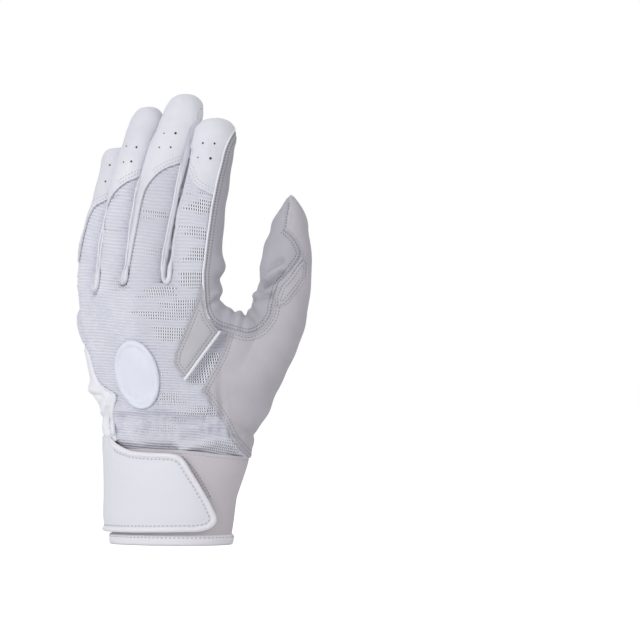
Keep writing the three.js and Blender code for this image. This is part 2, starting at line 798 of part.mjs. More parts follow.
const badgeLayer = form(seatGap + badgeThickness).subtract(form(seatGap));
const badgeField = form(seatGap + 2 * badgeThickness).subtract(form(seatGap + badgeThickness - badgeRimHeight));
pieces.back_badge = badgeLayer
  .intersect(prism(badgeOutline(0)))
  .intersect(seamBlock(-1))
  .subtract(badgeField.intersect(prism(badgeOutline(badgeRim))));

// Elastic tape inside the back of the wrist
const elasticEnds = elasticShares.map((share) => share * palmWidth);
const elasticZone = slab(elasticHeight, elasticHeight + elasticWidth, ...elasticEnds);
const elasticOffset = -leatherThickness - seatGap;
pieces.wrist_elastic = form(elasticOffset)
  .subtract(form(elasticOffset - elasticThickness))
  .intersect(elasticZone)
  .intersect(seamBlock(-1));

// Sectors of the cuff, between two angles counted from the thumb's side towards the back
function cuffSector(from, to) {
  const centre = new THREE.Vector3(cuffCentreShares[0] * cuffWidth, cuffCentreShares[1] * cuffDepth, 0);
  const ringAt = (z) => {
    const ring = [new THREE.Vector3(centre.x, centre.y, z)];
    for (let step = 0; step <= sectorSteps; step += 1) {
      const out = direction(THREE.MathUtils.lerp(from, to, step / sectorSteps)).multiplyScalar(farReach);
      ring.push(new THREE.Vector3(centre.x + out.x, centre.y + out.y, z));
    }
    return ring.reverse();
  };
  return loft([ringAt(-overrun), ringAt(cuffHeight + overrun)]);
}

const cuffPlaced = (shares) => placed(shares, cuffWidth, cuffHeight);
const bandOutline = cuffPlaced([...cuffTopShares, ...cuffLowShares]);
const bandInner = cuffSolid(-bandThickness, overrun);
const slitSector = cuffSector(slitStart, slitEnd);
const bandShape = cuffSolid(0).subtract(bandInner).intersect(prism(bandOutline)).subtract(slitSector);
const hemCut = slab(-overrun, hemWrap + seamGap);
pieces.cuff_band = bandShape.subtract(hemCut);
const bandPocket = cuffSolid(seamGap, overrun)
  .subtract(cuffSolid(-bandThickness - seamGap, overrun))
  .subtract(slab(-overrun, hemWrap));
pieces.cuff_hem = cuffSolid(seamGap + hemWrap)
  .subtract(cuffSolid(-bandThickness - seamGap - hemWrap, overrun))
  .intersect(slab(0, hemHeight))
  .subtract(bandPocket)
  .subtract(slitSector);

// Closure tab: loop field on the band, hook field above it, then the tab and its binding
const loopTop = seatGap + patchThickness;
const hookTop = loopTop + seatGap + patchThickness;
const tabLow = hookTop + seatGap;
const backSector = cuffSector(0, slitStart);
const tabSector = cuffSector(0, hingeAngle);
const rootSector = cuffSector(rootStart, rootAngle);

function cuffLayer(low, high) {
  return cuffSolid(high, overrun).subtract(cuffSolid(low, 2 * overrun));
}

const tabOutline = smoothed(cuffPlaced(tabShares), 1);
const tabInset = grown(tabOutline, -bindingWidth - seamGap);
const bindingInset = grown(tabOutline, -bindingWidth);
pieces.loop_patch = cuffLayer(seatGap, loopTop).intersect(prism(cuffPlaced(loopShares))).intersect(backSector);
pieces.hook_patch = cuffLayer(loopTop + seatGap, hookTop)
  .intersect(prism(cuffPlaced(hookShares)))
  .intersect(backSector);
pieces.closure_tab = cuffLayer(tabLow, tabLow + tabThickness).intersect(prism(tabInset)).intersect(tabSector);
pieces.tab_binding = cuffLayer(tabLow, tabLow + bindingThickness)
  .intersect(prism(tabOutline).subtract(prism(bindingInset)))
  .intersect(tabSector);
pieces.tab_root = cuffLayer(seatGap, tabLow + tabThickness)
  .intersect(prism(cuffPlaced(rootShares)))
  .intersect(rootSector);

// Colours and finishes
const finishes = {
  knit: { color: 0xe1e2ec, roughness: 0.85 },
  leather: { color: 0xb9b8be, roughness: 0.6 },
  smooth: { color: 0xeeeef4, roughness: 0.5 },
  piping: { color: 0xf2f2f6, roughness: 0.5 },
  band: { color: 0xcfcdd4, roughness: 0.8 },
  moulded: { color: 0xe4eaf4, roughness: 0.35 },
  tape: { color: 0xd8d8de, roughness: 0.9 },
};
const finishOf = {
  back_knit: 'knit',
  index_gusset: 'leather',
  thumb_wrap: 'leather',
  palm_leather: 'leather',
  thumb_front: 'leather',
  thumb_patch: 'leather',
  palm_heel_patch: 'leather',
  back_strap: 'leather',
  side_piping: 'piping',
  strap_piping: 'piping',
  back_badge: 'moulded',
  cuff_band: 'band',
  wrist_elastic: 'tape',
  hook_patch: 'tape',
  loop_patch: 'tape',
};

const glove = new THREE.Group();
for (const [name, solid] of Object.entries(pieces)) {
  const finish = finishes[finishOf[name] ?? 'smooth'];
  const mesh = new THREE.Mesh(geometryOf(solid), new THREE.MeshStandardMaterial({ ...finish, metalness: 0 }));
  mesh.name = name;
  glove.add(mesh);
}
glove.rotation.z = handTurn;

// The middle of the glove's box stands over the origin
const bounds = new THREE.Box3().setFromObject(glove, true);
const middle = bounds.getCenter(new THREE.Vector3());
glove.position.set(-middle.x, -middle.y, -bounds.min.z);

export default glove;
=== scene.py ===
import math
import bpy
import numpy as np
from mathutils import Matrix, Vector
from mathutils.bvhtree import BVHTree


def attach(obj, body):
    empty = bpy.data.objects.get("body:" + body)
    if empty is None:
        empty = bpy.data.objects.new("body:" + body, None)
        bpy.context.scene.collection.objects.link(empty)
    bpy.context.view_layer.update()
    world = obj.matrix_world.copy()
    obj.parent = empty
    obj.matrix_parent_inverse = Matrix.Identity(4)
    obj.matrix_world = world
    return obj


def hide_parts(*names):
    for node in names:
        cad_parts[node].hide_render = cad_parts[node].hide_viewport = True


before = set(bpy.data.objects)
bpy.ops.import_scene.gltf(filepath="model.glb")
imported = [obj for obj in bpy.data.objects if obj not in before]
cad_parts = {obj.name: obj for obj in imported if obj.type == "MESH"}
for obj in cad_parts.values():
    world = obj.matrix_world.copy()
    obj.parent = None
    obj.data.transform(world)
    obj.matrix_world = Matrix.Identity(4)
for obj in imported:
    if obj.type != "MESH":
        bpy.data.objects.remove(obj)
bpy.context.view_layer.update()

# The glove is shaped as the viewer sees its back: x to the right, y away, z up, all in millimetres.
# toFrame then turns it square to the hand and into metres.
placing = {"turn": math.radians(20), "shiftX": -10.641, "shiftY": -1.397, "photoScale": 0.534,
           "photoX": 168, "photoZ": 544}
turning = (math.cos(placing["turn"]), math.sin(placing["turn"]))
gloveLength, palmWidth, palmDepth = 240.0, 84.0, 30.0
knuckleZ = 0.583 * gloveLength


def toFrame(points):
    c, s = turning
    x, y, z = np.asarray(points, float).T
    return np.column_stack([x * c - y * s + placing["shiftX"], x * s + y * c + placing["shiftY"], z]) / 1000


def fromPhoto(pixels):
    px = np.asarray(pixels, float)
    across, down = px[:, 0] - placing["photoX"], placing["photoZ"] - px[:, 1]
    return np.column_stack([across, down]) * placing["photoScale"]


def shares(points, width=palmWidth, height=gloveLength):
    return np.asarray(points, float) * [width, height]


def ease(t):
    t = np.clip(t, 0, 1)
    return t * t * (3 - 2 * t)


def ramp(value, low, high):
    return ease((value - low) / (high - low))


def curved(rows, steps):
    rows = np.asarray(rows, float)
    p = np.vstack([2 * rows[0] - rows[1], rows, 2 * rows[-1] - rows[-2]])
    out = []
    for i in range(1, len(p) - 2):
        for t in np.arange(steps) / steps:
            out.append(0.5 * (2 * p[i] + (p[i + 1] - p[i - 1]) * t
                              + (2 * p[i - 1] - 5 * p[i] + 4 * p[i + 1] - p[i + 2]) * t ** 2
                              + (3 * p[i] - p[i - 1] - 3 * p[i + 1] + p[i + 2]) * t ** 3))
    out.append(p[-2])
    return np.array(out)


def traced(pixels, steps=4):
    return curved(fromPhoto(pixels), steps)


def evenly(line, spacing):
    line = np.asarray(line, float)
    run = np.concatenate([[0], np.cumsum(np.linalg.norm(np.diff(line, axis=0), axis=1))])
    count = max(2, int(round(run[-1] / spacing)) + 1)
    at = np.linspace(0, run[-1], count)
    return np.column_stack([np.interp(at, run, line[:, k]) for k in range(line.shape[1])])


# Form of the hand
handForm = {
    "rowSteps": 6, "digitSides": 40, "palmSides": 96, "palmPower": 2.3, "digitDepth": 0.86,
    "thumbDepth": 0.78, "shrink": 0.35, "voxel": 0.72, "smoothing": 14, "archStart": -0.2, "archRise": 3.2,
    "archFoot": 0.25, "archTop": 0.5, "shoulderDrop": 0.035, "shoulder": (0.50, 0.56), "domeFrom": 0.16,
    "domeTo": 1.5, "domeRings": 12,
}
# rows: x and height as shares of the palm's width and the glove's length, depth as a share of the
# palm's depth, half width as a share of the digit's width
digits = {
    "index": {"width": 28, "tip": 0.944, "dome": 1.0, "rows": [
        [0.150, 0.467, -0.283, 0.443], [0.167, 0.571, -0.300, 0.507], [0.186, 0.654, -0.317, 0.486],
        [0.214, 0.742, -0.317, 0.450], [0.254, 0.808, -0.300, 0.418], [0.281, 0.863, -0.283, 0.411],
        [0.300, 0.912, -0.250, 0.385]]},
    "middle": {"width": 24, "tip": 0.999, "dome": 0.92, "rows": [
        [-0.137, 0.467, -0.033, 0.442], [-0.131, 0.583, -0.033, 0.467], [-0.099, 0.671, -0.050, 0.488],
        [-0.063, 0.742, -0.050, 0.503], [-0.022, 0.817, -0.033, 0.515], [0.024, 0.883, 0, 0.492],
        [0.096, 0.950, 0.050, 0.458]]},
    "ring": {"width": 21, "tip": 0.9725, "dome": 0.8, "rows": [
        [-0.351, 0.467, 0.283, 0.448], [-0.340, 0.583, 0.300, 0.457], [-0.317, 0.671, 0.317, 0.457],
        [-0.290, 0.733, 0.317, 0.452], [-0.248, 0.808, 0.333, 0.452], [-0.195, 0.875, 0.367, 0.452],
        [-0.145, 0.929, 0.400, 0.438]]},
    "little": {"width": 18, "tip": 0.8833, "dome": 0.45, "rows": [
        [-0.440, 0.435, 0.350, 0.340], [-0.480, 0.510, 0.600, 0.440], [-0.487, 0.583, 0.750, 0.483],
        [-0.467, 0.667, 0.773, 0.483], [-0.429, 0.725, 0.787, 0.478], [-0.383, 0.775, 0.800, 0.472],
        [-0.355, 0.817, 0.817, 0.461], [-0.338, 0.850, 0.833, 0.444]]},
    "thumb": {"width": 28, "tip": 0.775, "dome": 2.3, "rows": [
        [0.290, 0.233, 0, 0.690], [0.360, 0.287, -0.080, 0.820], [0.418, 0.333, -0.150, 0.800],
        [0.498, 0.383, -0.220, 0.780], [0.585, 0.433, -0.270, 0.715], [0.665, 0.483, -0.300, 0.610],
        [0.712, 0.533, -0.310, 0.541], [0.744, 0.592, -0.310, 0.503], [0.761, 0.650, -0.300, 0.443],
        [0.772, 0.696, -0.290, 0.360]]},
}
# rows: height share, then x, half width (shares of the palm's width), y, half depth (of its depth)
palmRows = [
    [0.172, 0.058, 0.392, 0.067, 0.640], [0.212, 0.096, 0.446, 0.067, 0.675],
    [0.232, 0.076, 0.486, 0.067, 0.740], [0.258, 0.057, 0.480, 0.067, 0.690],
    [0.287, 0.053, 0.473, 0.050, 0.630], [0.333, 0.002, 0.502, 0.033, 0.570],
    [0.383, -0.031, 0.500, 0, 0.525], [0.433, -0.069, 0.497, -0.033, 0.480],
    [0.483, -0.112, 0.506, -0.053, 0.435], [0.529, -0.126, 0.498, -0.053, 0.385],
    [0.558, -0.126, 0.482, -0.053, 0.330], [0.573, -0.120, 0.442, -0.053, 0.260],
    [0.580, -0.118, 0.370, -0.053, 0.180]]
webRows = [
    [0.260, 0.380, 0.150, -0.100, 0.350], [0.333, 0.420, 0.210, -0.220, 0.500],
    [0.416, 0.425, 0.225, -0.330, 0.420], [0.466, 0.415, 0.225, -0.350, 0.360],
    [0.490, 0.405, 0.205, -0.345, 0.310], [0.504, 0.372, 0.148, -0.335, 0.250],
    [0.519, 0.302, 0.098, -0.325, 0.210], [0.536, 0.258, 0.070, -0.310, 0.150]]


def ringOf(x, y, z, a, b, sides, power=2.0):
    t = np.arange(sides) / sides * 2 * math.pi
    across = a * np.sign(np.cos(t)) * np.abs(np.cos(t)) ** (2 / power)
    through = b * np.sign(np.sin(t)) * np.abs(np.sin(t)) ** (2 / power)
    c, s = turning
    return np.column_stack([x + across * c + through * s, y - across * s + through * c,
                            np.full(sides, z)]), across / a


def bands(rings, sides):
    k = np.arange(sides)
    n = (k + 1) % sides
    faces = []
    for level in range(rings - 1):
        low, high = level * sides, (level + 1) * sides
        faces += [np.column_stack([low + k, low + n, high + n]),
                  np.column_stack([low + k, high + n, high + k])]
    return k, n, faces


def lofted(rings):
    sides = len(rings[0])
    points = np.vstack(rings + [rings[0].mean(0)[None], rings[-1].mean(0)[None]])
    k, n, faces = bands(len(rings), sides)
    base, top = len(rings) * sides, len(rings) * sides + 1
    last = (len(rings) - 1) * sides
    faces.append(np.column_stack([np.full(sides, base), n, k]))
    faces.append(np.column_stack([np.full(sides, top), last + k, last + n]))
    return points, np.vstack(faces)


def archLift(x, z):
    past = np.maximum(0, handForm["archStart"] - x / palmWidth)
    height = ramp(z / gloveLength, handForm["archFoot"], handForm["archTop"])
    return handForm["archRise"] * past ** 2 * height * palmDepth


def digitAxis(name):
    d = digits[name]
    rows = curved(d["rows"], handForm["rowSteps"])
    return np.column_stack([rows[:, 0] * palmWidth, rows[:, 2] * palmDepth, rows[:, 1] * gloveLength,
                            rows[:, 3] * d["width"]])


def digitLoft(name, shrink):
    d = digits[name]
    axis = digitAxis(name)
    depth = handForm["thumbDepth"] if name == "thumb" else handForm["digitDepth"]
    sides = handForm["digitSides"]
    rings = [ringOf(x, y, z, a - shrink, a * depth - shrink, sides)[0] for x, y, z, a in axis]
    x, y, z, a = axis[-1]
    lean = (x - axis[-7][0]) / (z - axis[-7][2])
    rise = d["tip"] * gloveLength - shrink - z
    for angle in np.linspace(handForm["domeFrom"], handForm["domeTo"], handForm["domeRings"]):
        climb = rise * math.sin(angle)
        size = math.cos(angle) ** d["dome"]
        rings.append(ringOf(x + climb * lean / 2, y, z + climb, (a - shrink) * size,
                            (a * depth - shrink) * size, sides)[0])
    return lofted(rings)


def palmLoft(rows, shrink, isPalm):
    rings = []
    for z, x, a, y, b in curved(rows, handForm["rowSteps"]):
        ring, across = ringOf(x * palmWidth, y * palmDepth, z * gloveLength, a * palmWidth - shrink,
                              b * palmDepth - shrink, handForm["palmSides"],
                              handForm["palmPower"] if isPalm else 2.0)
        if isPalm:
            ring[:, 1] += archLift(ring[:, 0], z * gloveLength)
            drop = np.maximum(0, -across) ** 2 * handForm["shoulderDrop"] * gloveLength
            ring[:, 2] -= drop * ramp(z, *handForm["shoulder"])
        rings.append(ring)
    return lofted(rings)


def meshFrom(name, points, faces):
    mesh = bpy.data.meshes.new(name)
    mesh.from_pydata(np.asarray(points, float).tolist(), [], np.asarray(faces).tolist())
    return mesh


def placed(name, data):
    holder = bpy.data.objects.new(name, data)
    bpy.context.scene.collection.objects.link(holder)
    return holder


def markOn(mesh, key, value, kind="FLOAT"):
    target = "value" if kind == "FLOAT" else "vector"
    mesh.attributes.new(key, kind, "POINT").data.foreach_set(target, value.astype(np.float32).ravel())


def grownMesh(holder):
    return bpy.data.meshes.new_from_object(holder.evaluated_get(bpy.context.evaluated_depsgraph_get()))


def trianglesOf(mesh):
    mesh.calc_loop_triangles()
    points = np.empty(len(mesh.vertices) * 3)
    mesh.vertices.foreach_get("co", points)
    faces = np.empty(len(mesh.loop_triangles) * 3, np.int64)
    mesh.loop_triangles.foreach_get("vertices", faces)
    return points.reshape(-1, 3), faces.reshape(-1, 3)


def normalsOf(points, faces):
    a, b, c = (points[faces[:, k]] for k in range(3))
    flat = np.cross(b - a, c - a)
    out = np.zeros_like(points)
    for axis in range(3):
        for k in range(3):
            out[:, axis] += np.bincount(faces[:, k], flat[:, axis], len(points))
    return out / np.maximum(np.linalg.norm(out, axis=1), 1e-12)[:, None]


def sidesOf(faces):
    return [faces[:, pair] for pair in ([0, 1], [1, 2], [2, 0])]


def edgesOf(faces):
    return np.unique(np.sort(np.vstack(sidesOf(faces)), axis=1), axis=0)


def packed(table, faces):
    used, faces = np.unique(faces, return_inverse=True)
    return table[used], faces.reshape(-1, 3)


def relaxed(points, faces, rounds, amount=0.5, back=0.9):
    pairs = edgesOf(faces)
    i, j = pairs.T
    count = np.bincount(i, minlength=len(points)) + np.bincount(j, minlength=len(points))
    for step in range(rounds):
        pull = amount if step % 2 == 0 else -amount * back
        sums = [np.bincount(i, points[j, k], len(points)) + np.bincount(j, points[i, k], len(points))
                for k in range(3)]
        points = points + pull * (np.column_stack(sums) / count[:, None] - points)
    return points


def handSkin():
    parts = [palmLoft(palmRows, handForm["shrink"], True), palmLoft(webRows, handForm["shrink"], False)]
    parts += [digitLoft(name, handForm["shrink"]) for name in digits]
    points, faces, start = [], [], 0
    for p, f in parts:
        points.append(p)
        faces.append(f + start)
        start += len(p)
    solid = placed("handForm", meshFrom("handForm", np.vstack(points), np.vstack(faces)))
    remesh = solid.modifiers.new("skin", "REMESH")
    remesh.mode = "VOXEL"
    remesh.voxel_size = handForm["voxel"]
    whole = grownMesh(solid)
    p, f = trianglesOf(whole)
    bpy.data.objects.remove(solid)
    bpy.data.meshes.remove(whole)
    p = relaxed(p, f, handForm["smoothing"])
    return p + normalsOf(p, f) * handForm["shrink"], f


skinPoints, skinFaces = handSkin()
print("skin", len(skinPoints), "points")
skinNormals = normalsOf(skinPoints, skinFaces)

# Seams and outlines, as the viewer sees them
digitLines = {name: digitAxis(name) for name in digits}
fingerNames = ["index", "middle", "ring", "little"]


def axisAt(name, z):
    line = digitLines[name]
    z = np.asarray(z, float)
    top, below = line[-1], line[-4]
    lean = (top[0] - below[0]) / (top[2] - below[2]) / 2
    x = np.interp(z, line[:, 2], line[:, 0]) + np.maximum(0, z - top[2]) * lean
    return x, np.interp(z, line[:, 2], line[:, 1]), np.interp(z, line[:, 2], line[:, 3])


def around(points, name):
    x, y, a = axisAt(name, points[:, 2])
    dx, dy = points[:, 0] - x, points[:, 1] - y
    c, s = turning
    across, through = dx * c - dy * s, -(dx * s + dy * c)
    return np.degrees(np.arctan2(through, across)), np.hypot(dx, dy), a


def nearBox(flat, shape, margin):
    return ((flat > shape.min(0) - margin) & (flat < shape.max(0) + margin)).all(1)


def gapTo(p, a, b):
    ab = (b - a)[None]
    t = np.clip(((p - a[None]) * ab).sum(2) / np.maximum((ab ** 2).sum(2), 1e-9), 0, 1)
    return np.linalg.norm(p - a[None] - t[..., None] * ab, axis=2).min(1)


# Measures, part by part, the points that lie within the margin of a shape
def measured(points, shape, margin, farther, measure, batch=20000):
    near = nearBox(points[:, [0, 2]], shape, margin)
    result = np.full(len(points), farther)
    flat = points[near][:, [0, 2]]
    out = np.empty(len(flat))
    for first in range(0, len(flat), batch):
        out[first:first + batch] = measure(flat[first:first + batch, None, :])
    result[near] = out
    return result


# Distance inside an outline is positive, and outside it negative
def outlineDistance(points, outline):
    a = np.asarray(outline, float)
    b = np.roll(a, -1, axis=0)
    wide, high = (b - a)[None, :, 0], (b - a)[None, :, 1]

    def signedGap(p):
        gap = gapTo(p, a, b)
        crosses = (a[None, :, 1] > p[..., 1]) != (b[None, :, 1] > p[..., 1])
        meets = a[None, :, 0] + (p[..., 1] - a[None, :, 1]) / np.where(np.abs(high) < 1e-9, 1e-9, high) * wide
        inside = (crosses & (p[..., 0] < meets)).sum(1) % 2 == 1
        return np.where(inside, gap, -gap)

    return measured(points, a, 5, -9.0, signedGap)


def lineDistance(points, line, margin):
    line = np.asarray(line, float)
    return measured(points, line, margin, 99.0, lambda p: gapTo(p, line[:-1], line[1:]))


seams = {
    "index": traced([
        (236.5, 121), (234.4, 130), (225.9, 148), (220.5, 169.3), (216, 189), (211, 217.4), (205.3, 262),
        (204, 278.6), (205.3, 304), (209, 317), (217.4, 326), (236.5, 332), (249.3, 334.7), (262, 329.6),
        (272, 317), (274.8, 304), (279.9, 286.3), (287.6, 277.3), (301.6, 257), (299, 244), (292.7, 235.3),
        (285.6, 229)]),
    "thumbTip": traced([(285.6, 233), (286, 222), (288.8, 204.6), (290, 194)], 3),
    "thumbEdge": traced([(229, 331), (224.8, 347), (217.2, 363.4), (208.6, 378.6), (202.6, 390.5)], 3),
    "thumbHeel": traced([
        (202.6, 390.5), (218.6, 411), (228.4, 427.7), (234, 439), (245.2, 452), (252, 460)], 3),
}
outlines = {
    "gusset": np.vstack([seams["index"], seams["thumbTip"],
                         shares([[0.785, 0.86], [0.560, 0.96], [0.50, 0.97]])]),
    "thumb": np.vstack([seams["index"][44:], seams["thumbTip"],
                        shares([[0.779, 0.9], [1.4, 0.9], [1.4, 0.1]]),
                        seams["thumbHeel"][::-1], seams["thumbEdge"][::-1]]),
    "strap": fromPhoto([(203.7, 282), (196.6, 305), (187, 328.7), (177, 352.6), (175.8, 363.4), (185.8, 379),
                        (219.4, 332), (209, 318), (205, 305)]),
    "patch": fromPhoto([(303, 256), (307.5, 264), (306.7, 277.3), (295.2, 294), (286.3, 305.4), (276, 308.6),
                        (277, 296), (281, 285), (288.5, 276.5)]),
    "slit": np.vstack([traced([(82, 345), (88.6, 355.8), (92.4, 370), (99, 383.6), (107.8, 390.3),
                               (116.8, 396), (113, 403.7), (113.5, 435), (118, 462)], 3),
                       fromPhoto([(20, 462), (20, 345)])]),
    "heel": curved(shares([[-0.340, 0.262], [-0.060, 0.255], [0.010, 0.290], [-0.030, 0.345], [-0.180, 0.385],
                           [-0.330, 0.372], [-0.385, 0.315], [-0.340, 0.262]]), 4)[:-1],
    "thumbFront": np.vstack([curved(shares([[0.400, 0.560], [0.430, 0.470], [0.560, 0.425], [0.700, 0.400],
                                            [0.880, 0.395]]), 3),
                             shares([[1.4, 0.395], [1.4, 0.9], [0.5, 0.9]])]),
}
capLines = {
    "index": [(180, 158), (189.3, 171), (195.5, 185), (212.5, 195.5), (226, 201)],
    "middle": [(190, 160.5), (180.3, 163.2), (161.4, 171.8), (148.2, 186), (142, 202.4), (136, 233),
               (128, 275)],
    "ring": [(150, 172), (138, 176.4), (124.7, 183), (113.5, 193.3), (106.3, 207.6), (103.3, 223),
             (99.5, 258)],
    "little": [(118, 194), (107.3, 198.4), (96, 203.8), (91, 208.6), (85, 221), (80.5, 240), (76.5, 262)],
}
capLines = {finger: traced(pixels) for finger, pixels in capLines.items()}
for finger, line in capLines.items():
    shiftFirst, shiftLast = (-34, 84) if finger == "index" else (84, -9)
    outlines[finger + "Cap"] = np.vstack([line, [line[-1] + [shiftLast, 0]], [[line[-1][0] + shiftLast, 262]],
                                          [[line[0][0] + shiftFirst, 262]], [line[0] + [shiftFirst, 0]]])

seamForm = {"split": [-0.44, 0.03], "depth": -0.03, "spine": -0.1, "indexSide": [0.12, 0.31], "shift": 0.2,
            "nearKnuckle": 0.47, "thumbSide": [0.36, 0.52], "thumbShift": 0.1, "overTip": 4.2, "tipFrom": 14,
            "tipTo": 6, "fingersEnd": 0.45, "knuckleBelow": 5, "knuckleAbove": 3}


def seamDepth(x, z):
    share, f = x / palmWidth, seamForm
    line = f["depth"] * palmDepth - (share - f["spine"]) * palmWidth * math.tan(placing["turn"])
    line = line + archLift(x, z)
    side = line + ramp(share, *f["indexSide"]) * f["shift"] * palmDepth
    indexY, littleY = axisAt("index", knuckleZ)[1], axisAt("little", knuckleZ)[1]
    knuckle = np.where(share > f["split"][1], indexY, np.where(share < f["split"][0], littleY, side))
    near = ramp(z / gloveLength, f["nearKnuckle"], knuckleZ / gloveLength)
    palmSeam = side + (knuckle - side) * near
    thumbSeam = axisAt("thumb", z)[1] + f["thumbShift"] * palmDepth
    return palmSeam + (thumbSeam - palmSeam) * ramp(share, *f["thumbSide"])


def nearestFinger(points):
    gaps = []
    for name in fingerNames:
        _, distance, a = around(points, name)
        gaps.append(distance / a)
    return np.argmin(gaps, axis=0)


def backField(points):
    f = seamForm
    flat = seamDepth(points[:, 0], points[:, 2]) - points[:, 1]
    owner = nearestFinger(points)
    middle = np.choose(owner, [axisAt(name, points[:, 2])[1] for name in fingerNames]) - points[:, 1]
    tips = np.choose(owner, [digits[name]["tip"] * gloveLength for name in fingerNames])
    middle += f["overTip"] * ramp(points[:, 2], tips - f["tipFrom"], tips - f["tipTo"])
    fingers = (points[:, 0] < f["fingersEnd"] * palmWidth).astype(float)
    fingers *= ramp(points[:, 2], knuckleZ - f["knuckleBelow"], knuckleZ + f["knuckleAbove"])
    return flat + (middle - flat) * fingers


forks = {
    "indexMiddleFourchette": ("index", "middle", 138.9, "index_middle_fourchette"),
    "middleRingFourchette": ("middle", "ring", 138.9, "middle_ring_fourchette"),
    "ringLittleFourchette": ("ring", "little", 133.6, "ring_little_fourchette"),
}
sideWall = {"thumbFrom": -50, "thumbTo": {"middle": 31, "ring": 25, "little": 6}, "narrowing": 38,
            "narrowFrom": 18, "narrowTo": 6, "endFrom": 7, "endTo": 4, "bridgeFrom": 24, "bridgeTo": 14,
            "farFrom": 155, "farTo": 235, "reach": 1.14, "bridge": 4.0, "share": 5, "away": 9,
            "bridgeEnds": 2, "foot": 9, "footNarrow": 3, "capLap": 0.6}


# Degrees inside the way from low to high round an axis
def insideArc(angle, low, high):
    middle, half = (low + high) / 2, (high - low) / 2
    return half - np.abs((angle - middle + 180) % 360 - 180)


def sector(points, name, low, high):
    angle, distance, a = around(points, name)
    return np.minimum(np.radians(insideArc(angle, low, high)) * a, sideWall["reach"] * a - distance)


def forkField(points, near, far, bottom):
    w = sideWall
    _, nearGap, nearWidth = around(points, near)
    _, farGap, farWidth = around(points, far)
    ownSide = w["share"] * (farGap / farWidth - nearGap / nearWidth)
    nearSide = np.minimum(sector(points, near, w["farFrom"], w["farTo"]), ownSide)
    tip = digits[far]["tip"] * gloveLength
    nearTip = ramp(points[:, 2], tip - w["narrowFrom"], tip - w["narrowTo"])
    end = w["away"] * ramp(points[:, 2], tip - w["endFrom"], tip - w["endTo"])
    farSide = sector(points, far, w["thumbFrom"], w["thumbTo"][far] - w["narrowing"] * nearTip) - end
    nx, ny, _ = axisAt(near, points[:, 2])
    fx, fy, _ = axisAt(far, points[:, 2])
    ux, uy = fx - nx, fy - ny
    length = np.hypot(ux, uy)
    ux, uy = ux / length, uy / length
    dx, dy = points[:, 0] - nx, points[:, 1] - ny
    along, beside = dx * ux + dy * uy, np.abs(dx * -uy + dy * ux)
    lowTip = min(digits[near]["tip"], digits[far]["tip"]) * gloveLength
    apart = w["away"] * ramp(points[:, 2], lowTip - w["bridgeFrom"], lowTip - w["bridgeTo"])
    inset = w["bridgeEnds"]
    bridge = np.minimum(np.minimum(along - inset, length - inset - along), w["bridge"] - beside) - apart
    narrow = ramp(points[:, 2], bottom, bottom + w["foot"]) * w["footNarrow"] - w["footNarrow"]
    return np.minimum(np.maximum(np.maximum(nearSide, farSide) + narrow, bridge), points[:, 2] - bottom)


def fingerOnly(points, name):
    _, distance, a = around(points, name)
    others = np.min([around(points, other)[1] / axisAt(other, points[:, 2])[2] for other in fingerNames
                     if other != name], axis=0)
    return np.minimum((others - distance / a) * 3, sideWall["reach"] * a + sideWall["capLap"] - distance)


capFeet = {"index": 170, "others": fromPhoto([(0, 276)])[0][1]}


def capField(points, name):
    shape = outlineDistance(points, outlines[name + "Cap"])
    foot = capFeet["index"] if name == "index" else capFeet["others"]
    return np.minimum.reduce([shape, fingerOnly(points, name), points[:, 2] - foot])


